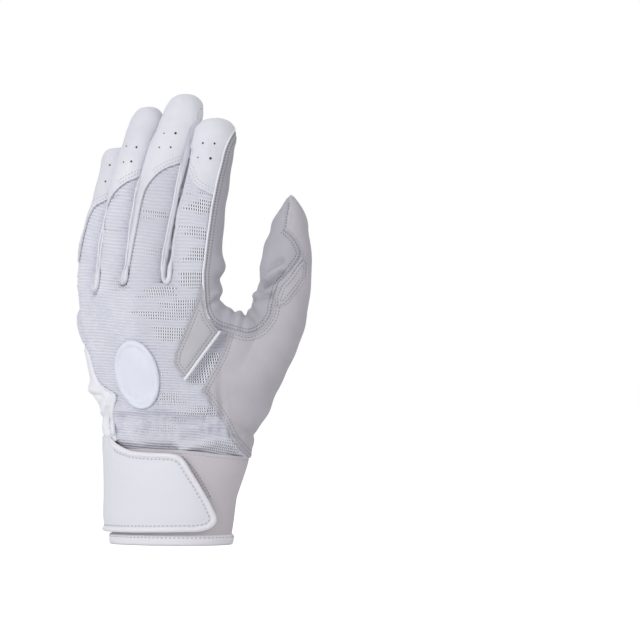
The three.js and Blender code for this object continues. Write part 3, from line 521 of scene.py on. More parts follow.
# Folds, wrinkles and bumps of the skin
# folds: width and depth in millimetres (a ridge has less than none), then the line on the photograph
backFolds = {
    "wristCrease": (2.1, 2.5, [(122, 416), (133, 416), (150, 415.5), (163, 414.2), (176, 417), (188, 419.5),
                               (206, 418)]),
    "wristCreaseEnd": (1.8, 0.8, [(214, 416), (219, 415.2), (224, 415.5)]),
    "wristBulge": (4.6, -1.8, [(122, 409), (140, 410), (165, 408), (188, 412), (206, 411)]),
    "wristRoll": (3.6, -2.4, [(184, 447), (205, 441), (226, 439), (240, 447), (247, 457)]),
    "wristRollFold": (2.2, 1.6, [(186, 436), (206, 431), (226, 430), (240, 436)]),
    "cuffFold": (2.4, 0.5, [(134, 447), (150, 449), (172, 450), (200, 452)]),
    "puckerA": (1.9, 1.2, [(131, 423), (134, 429), (136, 436)]),
    "puckerB": (1.8, 1.1, [(149, 423), (147, 428), (143, 433), (141, 439)]),
    "puckerBump": (2.6, -0.8, [(139, 420), (139, 427)]),
    "puckerC": (1.8, 0.7, [(121, 418), (123, 426), (123, 434)]),
    "underStrap": (4.2, 3.0, [(226, 336), (214, 352), (203, 367), (197, 378)]),
    "wristLower": (2.4, 0.5, [(118, 431), (150, 434), (185, 433), (222, 441)]),
    "knitSag": (3.0, 0.5, [(112, 402), (150, 404), (190, 398)]),
    "thumbFold": (2.0, 2.7, [(259, 291), (265, 286), (272, 281), (283, 274)]),
    "thumbRidge": (2.4, -1.1, [(268, 278), (274, 273), (283, 267)]),
    "thumbFoldLow": (1.7, 2.0, [(252, 304), (260, 298), (272, 295)]),
    "thumbFoldHigh": (2.0, 1.6, [(267, 273), (272, 268), (281, 262)]),
    "thumbFoldMid": (1.4, 1.2, [(262, 289), (270, 285), (279, 280)]),
    "thumbDent": (4.5, 0.9, [(275, 238), (277, 250), (278, 260)]),
    "thumbSeam": (0.8, 0.25, [(285.5, 236), (286.5, 222), (288.8, 207), (289.5, 201)]),
    "thumbTipA": (1.0, 0.35, [(281, 222), (286, 221), (292, 223)]),
    "thumbTipB": (1.0, 0.3, [(281, 214), (286, 213), (293, 215)]),
    "heelDent": (6.0, 0.9, [(232, 398), (242, 404), (250, 408)]),
    "crotchA": (1.6, 1.1, [(217, 300), (212, 304), (207, 306)]),
    "crotchB": (1.5, 0.9, [(235, 313), (233, 320), (230, 327)]),
    "crotchC": (1.5, 0.9, [(244, 313), (244, 321), (243, 330)]),
    "crotchD": (1.5, 0.8, [(252, 308), (256, 315), (262, 321)]),
    "fingerGap": (0.95, 3.4, [(190.5, 161), (189.4, 166), (186, 177), (182.8, 189.4), (179.4, 206),
                              (176, 225), (173.2, 240.6), (171.3, 256), (169.8, 264)]),
    "fingerGapTop": (1.1, 0.9, [(193, 151), (191.5, 157), (190, 163)]),
    "slitFold": (1.1, 1.5, [(87, 394), (95, 395), (103.5, 398.5)]),
    "slitFoldLow": (0.9, 1.6, [(108.8, 408), (108.6, 418), (109.2, 432)]),
    "slitRidge": (2.0, -1.1, [(107.5, 393), (106.5, 401), (105, 410)]),
    "slitSeam": (0.8, 0.7, [(82, 345), (88.6, 355.8), (92.4, 370), (99, 383.6), (107.8, 390.3),
                            (116.8, 396)]),
}
palmFolds = {
    "palmA": (2.4, 0.9, [(95, 300), (130, 290), (170, 300), (205, 296)]),
    "palmB": (2.6, 0.9, [(88, 325), (130, 330), (172, 322), (200, 305)]),
    "palmC": (3.0, 1.2, [(215, 318), (205, 345), (190, 372), (178, 402)]),
    "palmD": (2.6, 0.8, [(240, 330), (232, 352), (226, 380)]),
    "palmE": (2.4, 0.7, [(95, 360), (110, 378), (130, 390)]),
    "thumbPalm": (2.2, 0.9, [(262, 292), (280, 286), (304, 284)]),
    "thumbPalmHigh": (1.8, 0.7, [(266, 248), (285, 246), (308, 248)]),
}
fingerFolds = {"index": [232, 196], "middle": [236, 190], "ring": [240, 200], "little": [250, 218]}
bumps = [
    # place on the photograph, radius and height in millimetres, and the way it faces
    ((226, 267), 4.6, 2.6, (1, 0)), ((223, 291), 3.4, 1.7, (1, 0)), ((228, 307), 2.8, 0.3, (0.7, 0.7)),
    ((241, 316), 2.6, 1.2, (0, 1)), ((254, 302), 3.2, 0.8, (-0.8, 0.5)), ((256, 293), 3.0, 0.6, (-1, 0.3)),
    ((88, 390), 3.6, 3.0, (-1, 0)), ((236, 141), 4.0, 1.2, (1, 0)), ((102, 416), 5.0, 1.2, (-1, 0)),
    ((220, 279), 2.6, -0.9, (1, 0)), ((219, 299), 2.4, -1.2, (1, 0)), ((235, 315), 2.0, -0.3, (0, 1)),
    ((258, 280), 4.0, -2.0, (-1, 0)), ((276, 211), 5.5, -1.1, (-1, 0)),
    ((267, 242), 6.0, 0.7, (-1, 0)),
]


# A fold's profile, the creases of the fingers, the wrist's gathers, and the flare of the leather at the slit
clothForm = {
    "waist": 0.25, "lip": 0.22, "lipAt": 2.1, "fingerLean": 0.12, "fingerWidth": 1.7, "fingerDepth": 0.6,
    "gatherFrom": (49, 62), "gatherTo": (74, 92), "gatherEnd": 34, "gather": 0.5,
    "flareAcross": (20, 30), "flareFrom": (56.2, 57.6), "flareTo": (58.5, 84), "flare": 0.4, "tuck": 2.4,
    "uneven": 0.28, "ripple": 0.16,
}


def shaped(points, normals):
    c = clothForm
    side = np.where(backField(points) > 0, 1, -1)
    facing = np.abs(normals[:, 1]) ** 0.5
    push = np.zeros(len(points))
    for way, folds in ((1, backFolds), (-1, palmFolds)):
        for width, depth, line in folds.values():
            near = lineDistance(points, traced(line), 4 * width) / width
            valley = np.exp(-near ** 2) * (1 - c["waist"] * near ** 2)
            valley = valley - c["lip"] * np.exp(-(near - c["lipAt"]) ** 2)
            push -= np.where(side == way, depth * valley, 0)
    for name, rows in fingerFolds.items():
        mine = nearestFinger(points) == fingerNames.index(name)
        for row in rows:
            z = fromPhoto([(0, row)])[0][1]
            lean = (points[:, 0] - axisAt(name, z)[0]) * c["fingerLean"]
            near = (points[:, 2] + lean - z) / c["fingerWidth"]
            crease = c["fingerDepth"] * np.exp(-near ** 2) * facing
            push -= np.where(mine & (side < 0) & (points[:, 2] > knuckleZ), crease, 0)
    for (px, py), radius, height, (wayX, wayZ) in bumps:
        x, z = fromPhoto([(px, py)])[0]
        near = np.hypot(points[:, 0] - x, points[:, 2] - z) / radius
        way = np.clip(normals[:, 0] * wayX + normals[:, 2] * wayZ, 0, 1) ** 0.5
        push += height * np.exp(-near ** 2) * way
    x, y, z = points.T
    gather = ramp(z, *c["gatherFrom"]) * (1 - ramp(z, *c["gatherTo"])) * (side > 0) * (x < c["gatherEnd"])
    pleat = np.sin(x * 1.25 + 1.1 * np.sin(z * 0.16) + 0.8 * np.sin(x * 0.31))
    pleat *= 0.6 + 0.4 * np.sin(x * 0.23 + 2)
    push += c["gather"] * gather * pleat
    # the leather beside the slit flares out to the tab's face and is tucked in under it
    flare = ramp(-x, *c["flareAcross"]) * (1 - ramp(z, *c["flareTo"])) * ramp(z, *c["flareFrom"])
    flare *= (outlineDistance(points, outlines["slit"]) > -0.5) | (side < 0)
    push += c["flare"] * flare
    # loose cloth never lies quite even
    push += (c["uneven"] * np.sin(x * 0.19 + 1.3) * np.sin(z * 0.11 + 0.4)
             + c["ripple"] * np.sin(x * 0.37 + z * 0.29 + y * 0.2))
    return points + normals * push[:, None] - np.outer(c["tuck"] * flare * (normals[:, 1] < 0.2), [0, 1, 0])


# the gusset runs over into the web without a crease
softSpots = [((224, 304), 6.0), ((224, 322), 6.0), ((253, 306), 4.5)]
soft = np.zeros(len(skinPoints))
for (px, py), radius in softSpots:
    spotX, spotZ = fromPhoto([(px, py)])[0]
    near = np.hypot(skinPoints[:, 0] - spotX, skinPoints[:, 2] - spotZ) / radius
    soft = np.maximum(soft, np.exp(-near ** 2))
soft *= skinNormals[:, 1] < 0.5
skinPoints = relaxed(skinPoints, skinFaces, 50, 0.5 * soft[:, None], -1)
skinNormals = normalsOf(skinPoints, skinFaces)
skinPoints = shaped(skinPoints, skinNormals)
skinNormals = normalsOf(skinPoints, skinFaces)
print("skin shaped")


# Materials
def tone(r, g, b):
    c = np.array([r, g, b]) / 255
    return tuple(np.where(c <= 0.04045, c / 12.92, ((c + 0.055) / 1.055) ** 2.4)) + (1.0,)


class Nodes:
    # A node tree under construction; an input takes a value, any output, or a node for its first output

    def __init__(self, tree):
        self.tree = tree

    def add(self, kind, inputs=None, **settings):
        node = self.tree.nodes.new(kind)
        for key, value in settings.items():
            setattr(node, key, value)
        for key, value in (inputs or {}).items():
            self.put(node.inputs[key], value)
        return node

    def put(self, socket, value):
        if isinstance(value, bpy.types.Node):
            value = value.outputs[0]
        if isinstance(value, bpy.types.NodeSocket):
            self.tree.links.new(value, socket)
        else:
            socket.default_value = value


class Shader(Nodes):
    # A material under construction, with its nodes made by short calls

    def __init__(self, name):
        self.material = bpy.data.materials.new(name)
        self.material.use_nodes = True
        super().__init__(self.material.node_tree)
        self.surface = self.tree.nodes["Principled BSDF"]
        self.coords = self.add("ShaderNodeTexCoord")

    def cloth(self):
        return self.add("ShaderNodeUVMap", uv_map="cloth")

    def object(self):
        return self.coords.outputs["Object"]

    def mark(self, name):
        return self.add("ShaderNodeAttribute", attribute_name=name).outputs["Fac"]

    def split(self, source):
        return list(self.add("ShaderNodeSeparateXYZ", {0: source}).outputs)

    def noise(self, source, scale, detail=3.0):
        return self.add("ShaderNodeTexNoise", {
            "Vector": source, "Scale": scale, "Detail": detail, "Roughness": 0.55}).outputs["Fac"]

    def cells(self, source, scale):
        return self.add("ShaderNodeTexVoronoi", {"Vector": source, "Scale": scale},
                        feature="DISTANCE_TO_EDGE").outputs["Distance"]

    def math(self, kind, a, b=None, clamp=False):
        inputs = {k: value for k, value in enumerate([a, b]) if value is not None}
        return self.add("ShaderNodeMath", inputs, operation=kind, use_clamp=clamp)

    def times(self, a, b):
        return self.math("MULTIPLY", a, b)

    def remap(self, source, low, high, toLow, toHigh):
        return self.add("ShaderNodeMapRange", {0: source, 1: low, 2: high, 3: toLow, 4: toHigh})

    def blendColours(self, factor, a, b):
        return self.add("ShaderNodeMix", {"Factor": factor, 6: a, 7: b}, data_type="RGBA").outputs[2]

    def bump(self, height, strength, distance):
        self.put(self.surface.inputs["Normal"], self.add(
            "ShaderNodeBump", {"Height": height, "Strength": strength, "Distance": distance}))

    def colour(self, value):
        self.put(self.surface.inputs["Base Color"], value)

    def finish(self, roughness, sheen=0.0, specular=0.35):
        for label, value in (("Roughness", roughness), ("Sheen Weight", sheen),
                             ("Specular IOR Level", specular)):
            self.put(self.surface.inputs[label], value)
        return self.material


# Scales of the textures (larger is finer), and heights of their relief in metres
leatherForm = {"pores": 900, "grain": 1500, "clouds": 38, "poreEdge": 0.12, "poreShare": 0.6,
               "grainShare": 0.4, "strength": 0.22, "relief": 0.0003, "matter": 0.08, "shinier": 0.06}
fabricForm = {"fuzz": 1400, "clouds": 45, "fuzzShare": 0.8, "weaveShare": 0.6, "cloudShare": 0.5,
              "relief": 0.0002}
plainForm = {"darker": 0.93, "relief": 0.0002}


def leather(name, light, dark, grain=1.0, roughness=0.55):
    s, f = Shader(name), leatherForm
    place = s.object()
    pores = s.cells(place, f["pores"] * grain)
    fine = s.noise(place, f["grain"] * grain, 4.0)
    cloudy = s.noise(place, f["clouds"], 3.0)
    shade = s.remap(cloudy, 0.3, 0.7, 0.0, 1.0)
    s.colour(s.blendColours(shade, dark, light))
    height = s.math("ADD", s.times(s.remap(pores, 0.0, f["poreEdge"], 0.0, 1.0), f["poreShare"]),
                    s.times(fine, f["grainShare"]))
    s.bump(height, f["strength"], f["relief"])
    return s.finish(s.remap(cloudy, 0.3, 0.7, roughness - f["shinier"], roughness + f["matter"]))


def fabric(name, light, dark, pitch, roughness=0.85, sheen=0.15, strength=0.35):
    s, f = Shader(name), fabricForm
    turns = 2 * math.pi / pitch
    warp, weft = (s.math("SINE", s.times(way, turns)) for way in s.split(s.cloth())[:2])
    weave = s.times(warp, weft)
    fuzz = s.noise(s.object(), f["fuzz"], 4.0)
    cloudy = s.noise(s.object(), f["clouds"], 2.0)
    woven = s.remap(weave, -1.0, 1.0, 0.0, f["weaveShare"])
    shade = s.math("ADD", woven, s.times(cloudy, f["cloudShare"]), True)
    s.colour(s.blendColours(shade, dark, light))
    s.bump(s.math("ADD", weave, s.times(fuzz, f["fuzzShare"])), strength, f["relief"])
    return s.finish(roughness, sheen, 0.2)


def plain(name, colour, roughness, scale=500, strength=0.15, sheen=0.0):
    s = Shader(name)
    texture = s.noise(s.object(), scale, 4.0)
    s.colour(s.blendColours(texture, tuple(plainForm["darker"] * v for v in colour[:3]) + (1.0,), colour))
    s.bump(texture, strength, plainForm["relief"])
    return s.finish(roughness, sheen)


def thread(name, colour):
    return plain(name, colour, 0.6, 3000, 0.3)


# Colours of the knit; the darker one that the yarn and ground are blended towards is painted shade
knitLook = {
    "pitch": 1.62, "wale": 1.12, "twist": 7400, "twistLean": 0.6, "yarn": tone(229, 230, 239),
    "yarnShade": tone(218, 220, 231), "ground": tone(213, 214, 225), "paintedShade": tone(186, 187, 197),
    # the near black colour of the open rows' holes is painted shade, seen through the holes
    "holeShade": tone(52, 52, 64), "stem": tone(247, 247, 252), "fuzz": 1800, "clouds": 60,
    "groundStrength": 0.4, "groundRelief": 0.0003, "yarnStrength": 0.3, "yarnRelief": 0.00015,
}


def knitGround():
    s = Shader("knitGround")
    wale = s.math("SINE", s.times(s.split(s.cloth())[0], 2 * math.pi / knitLook["wale"]))
    stems = s.remap(wale, -0.3, 0.2, 0.0, 1.0)
    openness, paintedShade = s.mark("open"), s.mark("paintedShade")
    # open rows: light stems between holes painted near black as shade
    dots = s.blendColours(stems, knitLook["holeShade"], knitLook["stem"])
    # the ground is painted darker by the painted shade mark
    s.colour(s.blendColours(openness, s.blendColours(paintedShade, knitLook["ground"], knitLook["paintedShade"]), dots))
    s.bump(stems, knitLook["groundStrength"], knitLook["groundRelief"])
    return s.finish(0.9, 0.1, 0.15)


def knitYarn():
    s = Shader("knitYarn")
    across, _, up = s.split(s.object())
    slant = s.math("ADD", across, s.times(up, knitLook["twistLean"]))
    twist = s.math("SINE", s.times(slant, knitLook["twist"]))
    fuzz = s.noise(s.object(), knitLook["fuzz"], 3.0)
    cloudy = s.noise(s.object(), knitLook["clouds"], 2.0)
    yarn = s.blendColours(s.remap(cloudy, 0.35, 0.65, 0.0, 1.0), knitLook["yarnShade"], knitLook["yarn"])
    # the yarn is painted darker by the painted shade mark
    s.colour(s.blendColours(s.mark("paintedShade"), yarn, knitLook["paintedShade"]))
    s.bump(s.math("ADD", s.times(twist, 0.5), fuzz), knitLook["yarnStrength"], knitLook["yarnRelief"])
    return s.finish(0.88, 0.2, 0.15)


looks = {
    "ground": knitGround(),
    "yarn": knitYarn(),
    "tip": leather("tipLeather", tone(228, 228, 235), tone(215, 216, 225), 0.8, 0.5),
    "grey": leather("greyLeather", tone(193, 190, 197), tone(181, 178, 186), 1.0, 0.58),
    # the grey leather made darker, as painted shade for the index finger's gusset on the side away from the
    # key lamp
    "inner": leather("innerLeather", tone(184, 182, 190), tone(171, 169, 178), 1.0, 0.58),
    "palm": leather("palmLeather", tone(241, 241, 246), tone(229, 229, 236), 1.1, 0.6),
    "strap": leather("strapLeather", tone(193, 192, 198), tone(180, 179, 186), 1.0, 0.55),
    "side": fabric("sideStretch", tone(239, 239, 245), tone(229, 229, 237), 0.7, 0.7, 0.1, 0.12),
    "cord": plain("pipingCord", tone(238, 238, 243), 0.5, 900),
    "thread": thread("thread", tone(190, 190, 200)),
    "greyThread": thread("greyThread", tone(148, 146, 156)),
    "darkThread": thread("darkThread", tone(122, 120, 130)),
    "paleThread": thread("paleThread", tone(200, 199, 207)),
    "band": fabric("bandFabric", tone(208, 203, 208), tone(196, 191, 197), 1.0, 0.8, 0.1, 0.2),
    "hem": fabric("hemTape", tone(241, 240, 245), tone(231, 230, 237), 0.8, 0.75, 0.1, 0.25),
    "tab": fabric("tabFace", tone(232, 232, 239), tone(224, 224, 232), 1.1, 0.7, 0.1, 0.1),
    "edging": plain("tabEdging", tone(238, 237, 243), 0.5, 1200),
    "badge": plain("badgeMoulding", tone(228, 231, 243), 0.42, 700, 0.08),
    "hook": plain("hookField", tone(212, 212, 218), 0.6, 900, 0.3),
    "loop": plain("loopField", tone(216, 216, 222), 0.95, 900, 0.5, 0.4),
    "elastic": fabric("elasticTape", tone(224, 224, 230), tone(205, 205, 212), 0.9, 0.85, 0.1, 0.4),
    # painted shade for the punched holes and the knit's open rows
    "holeShade": plain("punchedHole", tone(34, 34, 42), 0.9, 900),
}
print("materials", len(looks))


# Cutting panels out of a surface
# A surface is its points, normals and triangles; cuts carry the columns of extra values along.
def clipped(table, faces, value):
    inside = value > 0
    count = inside[faces].sum(1)
    whole = faces[count == 3]
    cut = faces[(count == 1) | (count == 2)]
    if len(cut) == 0:
        return table, whole
    odd = np.where(inside[cut].sum(1) == 1, inside[cut].argmax(1), (~inside[cut]).argmax(1))
    cut = np.take_along_axis(cut, (odd[:, None] + np.arange(3)[None]) % 3, axis=1)
    pairs = np.sort(np.vstack([cut[:, [0, 1]], cut[:, [0, 2]]]), axis=1)
    unique, back = np.unique(pairs, axis=0, return_inverse=True)
    back = back.reshape(-1)
    i, j = unique.T
    t = np.clip(value[i] / (value[i] - value[j]), 0.001, 0.999)[:, None]
    fresh = table[i] + (table[j] - table[i]) * t
    ab, ac = back[:len(cut)] + len(table), back[len(cut):] + len(table)
    keepsOne = inside[cut[:, 0]]
    one = np.column_stack([cut[:, 0], ab, ac])[keepsOne]
    other, otherAb, otherAc = cut[~keepsOne], ab[~keepsOne], ac[~keepsOne]
    two = np.vstack([np.column_stack([otherAb, other[:, 1], other[:, 2]]),
                     np.column_stack([otherAb, other[:, 2], otherAc])])
    return packed(np.vstack([table, fresh]), np.vstack([whole, one, two]))


def largeOnly(table, faces, smallest):
    label = np.arange(len(table))
    pairs = edgesOf(faces)
    while True:
        low = np.minimum(label[pairs[:, 0]], label[pairs[:, 1]])
        fresh = label.copy()
        np.minimum.at(fresh, pairs[:, 0], low)
        np.minimum.at(fresh, pairs[:, 1], low)
        fresh = fresh[fresh]
        if (fresh == label).all():
            break
        label = fresh
    names, counts = np.unique(label[faces[:, 0]], return_counts=True)
    return packed(table, faces[np.isin(label[faces[:, 0]], names[counts >= smallest])])


def shell(outer, inner, faces):
    count = len(outer)
    halves = np.vstack(sidesOf(faces))
    border = halves[~np.isin(halves[:, 0] * count + halves[:, 1], halves[:, 1] * count + halves[:, 0])]
    a, b = border.T
    rim = np.vstack([np.column_stack([b, a, a + count]), np.column_stack([b, a + count, b + count])])
    return np.vstack([outer, inner]), np.vstack([faces, faces[:, ::-1] + count, rim])


# Lines where a value over a surface crosses evenly spaced levels
def contour(points, normals, faces, value, first, step):
    level = np.floor((value - first) / step).astype(int)
    pairs = edgesOf(faces)
    i, j = pairs.T
    crossing = level[i] != level[j]
    i, j = i[crossing], j[crossing]
    at = first + np.maximum(level[i], level[j]) * step
    t = np.clip((at - value[i]) / (value[j] - value[i]), 0, 1)[:, None]
    place, up = points[i] + (points[j] - points[i]) * t, normals[i] + (normals[j] - normals[i]) * t
    key = i.astype(np.int64) * len(points) + j
    ranks = np.argsort(key)
    sortedKey = key[ranks]
    sides = np.stack([np.sort(side, axis=1) for side in sidesOf(faces)], axis=1).astype(np.int64)
    sideKey = sides[..., 0] * len(points) + sides[..., 1]
    spot = np.clip(np.searchsorted(sortedKey, sideKey), 0, len(sortedKey) - 1)
    found = np.where(sortedKey[spot] == sideKey, ranks[spot], -1)
    double = (found >= 0).sum(1) == 2
    links = np.sort(found[double], axis=1)[:, 1:]
    same = at[links[:, 0]] == at[links[:, 1]]
    return place, up / np.linalg.norm(up, axis=1)[:, None], links[same]


surfaces = {}


def finishPiece(piece, body="glove", nodes=()):
    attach(piece, body)
    if nodes:
        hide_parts(*nodes)


def addPiece(name, points, faces, look, body="glove", nodes=(), cloth=None, marks=None, sharp=True):
    mesh = meshFrom(name, toFrame(points), faces)
    if cloth is not None:
        corner = np.empty(len(mesh.loops), np.int64)
        mesh.loops.foreach_get("vertex_index", corner)
        mesh.uv_layers.new(name="cloth").data.foreach_set("uv", cloth[corner].astype(np.float32).ravel())
    for key, value in (marks or {}).items():
        markOn(mesh, key, value)
    mesh.shade_smooth()
    mesh.materials.append(looks[look])
    if sharp:
        mesh.set_sharp_from_angle(angle=math.radians(52))
    finishPiece(placed(name, mesh), body, nodes)


# Across and along the cloth, in millimetres; the ribs of the knit lie level across each finger
clothLie = {"knuckles": (12, 14), "tilt": 0.045, "tiltFrom": 8, "leanShare": 0.55, "lean": 0.03,
            "fingerRows": 0.88, "cuffRows": 0.16, "cuffTop": 96, "thumbFrom": (16, 42), "heel": 4.6,
            "heelTo": (54, 68), "dip": 1.7, "dipAt": 73, "dipWidth": 7, "skew": 0.35}


def clothMap(points):
    c = clothLie
    x, y, z = points.T
    owner = nearestFinger(points)
    lean, centre = np.zeros(len(points)), np.zeros(len(points))
    for k, name in enumerate(fingerNames):
        line = digitLines[name]
        slope = np.interp(z, line[:, 2], np.gradient(line[:, 0], line[:, 2]))
        lean = np.where(owner == k, slope, lean)
        centre = np.where(owner == k, axisAt(name, z)[0], centre)
    onFinger = ramp(z, knuckleZ - c["knuckles"][0], knuckleZ + c["knuckles"][1])
    tilt = c["tilt"] * (x + c["tiltFrom"]) * (1 - onFinger)
    tilt = tilt + (x - centre) * (lean * c["leanShare"] + c["lean"]) * onFinger
    rows = np.minimum(z, knuckleZ) + np.maximum(0, z - knuckleZ) * c["fingerRows"]
    rows = rows - np.maximum(0, c["cuffTop"] - z) * c["cuffRows"]
    dip = c["dip"] * np.exp(-((z - c["dipAt"]) / c["dipWidth"]) ** 2)
    tilt += ramp(x, *c["thumbFrom"]) * (c["heel"] * (1 - ramp(z, *c["heelTo"])) - dip)
    along = rows + tilt + 0.5 * np.sin(x * 0.07 + z * 0.02) + 0.22 * np.sin(x * 0.21 + z * 0.05)
    return np.column_stack([x + c["skew"] * y, along])


# A panel is the part of a surface where all its fields are positive, as a closed shell whose edges dip
panelForm = {"foot": 41.9, "thumbFoot": 4, "slitFoot": 44, "knitBelow": 0.6, "channelWidth": 0.6,
             "channelDepth": 0.3, "swellTo": 9, "smallest": 60}


def addPanel(name, base, fields, look, nodes=(), lift=0.0, thick=0.9, drop=0.35, edge=1.6,
             swell=0.0, body="glove", rounded=False, marks=None, channels=()):
    basePoints, baseNormals, faces = base
    value = np.minimum.reduce(fields)
    table = np.column_stack([basePoints, baseNormals, value])
    table, faces = clipped(table, faces, value)
    table, faces = largeOnly(table, faces, panelForm["smallest"])
    points, gap = table[:, :3], np.maximum(table[:, 6], 0)
    normals = table[:, 3:6] / np.linalg.norm(table[:, 3:6], axis=1)[:, None]
    share = np.clip(gap / edge, 0, 1)
    fall = 1 - np.sqrt(1 - (1 - share) ** 2) if rounded else 1 - ease(share)
    for channel in channels:
        dent = np.exp(-((gap - channel) / panelForm["channelWidth"]) ** 2)
        fall = fall + dent * panelForm["channelDepth"] / drop
    outer = points + normals * (lift - drop * fall + swell * ease(gap / panelForm["swellTo"]))[:, None]
    inner = points + normals * (lift - drop - thick)
    solid, solidFaces = shell(outer, inner, faces)
    cloth = clothMap(points)
    extra = {key: np.tile(make(points), 2) for key, make in (marks or {}).items()}
    addPiece(name, solid, solidFaces, look, body, nodes, np.vstack([cloth, cloth]), extra)
    surfaces[name] = {"points": outer, "normals": normalsOf(outer, faces), "faces": faces, "gap": gap,
                      "tree": None}
    print("panel", name, len(solidFaces), "triangles")


# Fields of the hand's panels
def fieldsOf(points):
    f = {"back": backField(points), "floor": points[:, 2] - panelForm["foot"]}
    for name in ("gusset", "thumb", "slit", "thumbFront", "strap", "patch", "heel"):
        f[name] = outlineDistance(points, outlines[name])
    for name, (near, far, bottom, node) in forks.items():
        f[name] = forkField(points, near, far, bottom)
    for name in fingerNames:
        f[name] = capField(points, name)
    f["fork"] = np.maximum.reduce([f[name] for name in forks])
    f["cap"] = np.maximum.reduce([f[name] for name in fingerNames])
    return f


field = fieldsOf(skinPoints)
skin = (skinPoints, skinNormals, skinFaces)
lap, forkLap = 1.0, 0.3  # how far the knit and the leather run on under what is sewn over them
print("fields")


# Rows of open mesh in the knit, in groups; each row starts at its own place, found from its number
openForm = {
    "ragged": 7.0, "fade": 4.2, "hashTurn": 12.9898, "hashScale": 43758.5453,
    # places on the photograph: rows from and to, the columns between which they show, and how open they are
    "groups": [(183, 195, 192, 212, 1), (200, 215, 184, 213, 1), (227, 240, 180, 211, 0.9),
               (249, 262, 180, 208, 1), (272, 289, 175, 206, 1), (211, 219, 140, 170, 0.8),
               (250, 255, 136, 164, 0.4), (227, 232, 106, 128, 0.4), (279, 290, 103, 124, 0.5),
               (286, 297, 134, 172, 0.8), (299, 311, 166, 208, 1), (311, 320, 135, 202, 0.9),
               (327, 341, 150, 198, 1), (352, 384, 186, 226, 1), (370, 377, 150, 170, 0.6),
               (392, 404, 158, 184, 0.7), (405, 416, 184, 222, 0.9), (417, 422, 168, 186, 0.5),
               (424, 432, 146, 176, 0.35), (439, 452, 196, 246, 0.8)],
}


def openRows(points):
    x, _, z = points.T
    o, along = openForm, clothMap(points)[:, 1]
    row = np.floor(along / knitLook["pitch"])
    ragged = o["ragged"] * (np.abs(np.sin(row * o["hashTurn"]) * o["hashScale"]) % 1 - 0.5)
    openness = np.zeros(len(points))
    for top, bottom, start, end, strength in o["groups"]:
        (startX, highZ), (endX, lowZ) = fromPhoto([(start, top), (end, bottom)])
        inside = (z > lowZ) & (z < highZ) & (x < endX + ragged)
        openness = np.maximum(openness, strength * inside * ramp(x - startX - 2 * ragged, 0, o["fade"]))
    return openness


# How much painted shade the knit's yarn and ground take: fullest under the strap, where the knit lies in
# shade, and a little towards the middle of the hand, where less light falls
paintedShadeForm = {"under": traced([(228, 332), (215, 350), (205, 366), (199, 378)], 3), "width": 5.0, "most": 0.8,
           "outer": 0.1, "outerAt": (-39, -27), "inner": 0.22, "innerAt": (-21, -11), "clear": 0.8,
           "clearAcross": (4, 8), "clearUp": (130, 150)}


def paintedShadeAmount(points):
    x, _, z = points.T
    d = paintedShadeForm
    clear = 1 - d["clear"] * ramp(x, *d["clearAcross"]) * ramp(z, *d["clearUp"])
    middle = d["outer"] * ramp(x, *d["outerAt"]) + d["inner"] * ramp(x, *d["innerAt"]) * clear
    near = lineDistance(points, d["under"], 3 * d["width"]) / d["width"]
    return np.maximum(middle, d["most"] * np.exp(-near ** 2))


back, palm, floorField = field["back"], -field["back"], field["floor"]
underLaps = [lap - field[over] for over in ("gusset", "thumb", "slit", "fork", "cap")]
# the knit carries its open rows and its painted shade as marks
addPanel("backKnit", skin, [back + panelForm["knitBelow"], floorField] + underLaps,
         "ground", ["back_knit"], -0.3, 0.6, 0.6, 2.8, marks={"open": openRows, "paintedShade": paintedShadeAmount})
# the gusset takes the grey leather painted darker as shade
addPanel("indexGusset", skin, [back, field["gusset"], forkLap - field["fork"], floorField],
         "inner", ["index_gusset"], 0.45, 0.9, 0.4, 1.3)
addPanel("thumbWrap", skin, [back, field["thumb"], -field["gusset"], floorField - panelForm["thumbFoot"]],
         "grey", ["thumb_wrap"], 0.55, 0.9, 0.35, 1.1)
slitSide = np.minimum(field["slit"], skinPoints[:, 2] - panelForm["slitFoot"])
addPanel("palmLeather", skin, [np.maximum(palm, slitSide), forkLap - field["fork"], -field["thumbFront"],
                               floorField], "palm", ["palm_leather"], 0.1, 0.9, 0.4)
addPanel("thumbFront", skin, [palm, field["thumbFront"]], "palm", ["thumb_front"], 0.1, 0.9, 0.4)
for finger in fingerNames:
    addPanel(finger + "Cap", skin, [back, field[finger], -field["fork"], -field["gusset"]], "tip",
             [finger + "_cap"], 0.8, 1.0, 0.22, 0.9)
for name, fork in forks.items():
    addPanel(name, skin, [field[name], -field["gusset"]], "side", [fork[3]], 0.15, 0.8, 0.5, 1.6)
addPanel("backStrap", skin, [field["strap"], back], "strap", ["back_strap"], 1.3, 0.9, 0.35, 1.2,
         channels=(1.3, 2.8))
addPanel("thumbPatch", skin, [field["patch"], back], "grey", ["thumb_patch"], 1.05, 0.7, 0.35, 1.2,
         channels=(1.1,))
addPanel("palmHeelPatch", skin, [field["heel"], palm], "palm", ["palm_heel_patch"],
         0.95, 0.7, 0.4, 1.2)
elasticForm = {"low": 66.0, "high": 73.0, "from": -0.33, "to": 0.36}
addPanel("wristElastic", skin, [
    skinPoints[:, 2] - elasticForm["low"], elasticForm["high"] - skinPoints[:, 2], back,
    skinPoints[:, 0] - elasticForm["from"] * palmWidth, elasticForm["to"] * palmWidth - skinPoints[:, 0]],
    "elastic", ["wrist_elastic"], -1.75, 0.6, 0.15)

# Cuff, with its tab
cuffForm = {
    "width": 68, "depth": 47, "height": 50, "centre": [0.03, 0.043], "hem": 5.6, "sides": 300, "rows": 84,
    "levels": (-0.004, 1.19), "wave": 0.22, "waveFrom": (2, 18), "fieldScale": 0.5,
    "slit": [178, 196], "hinge": 214, "root": [214.7, 236],
}
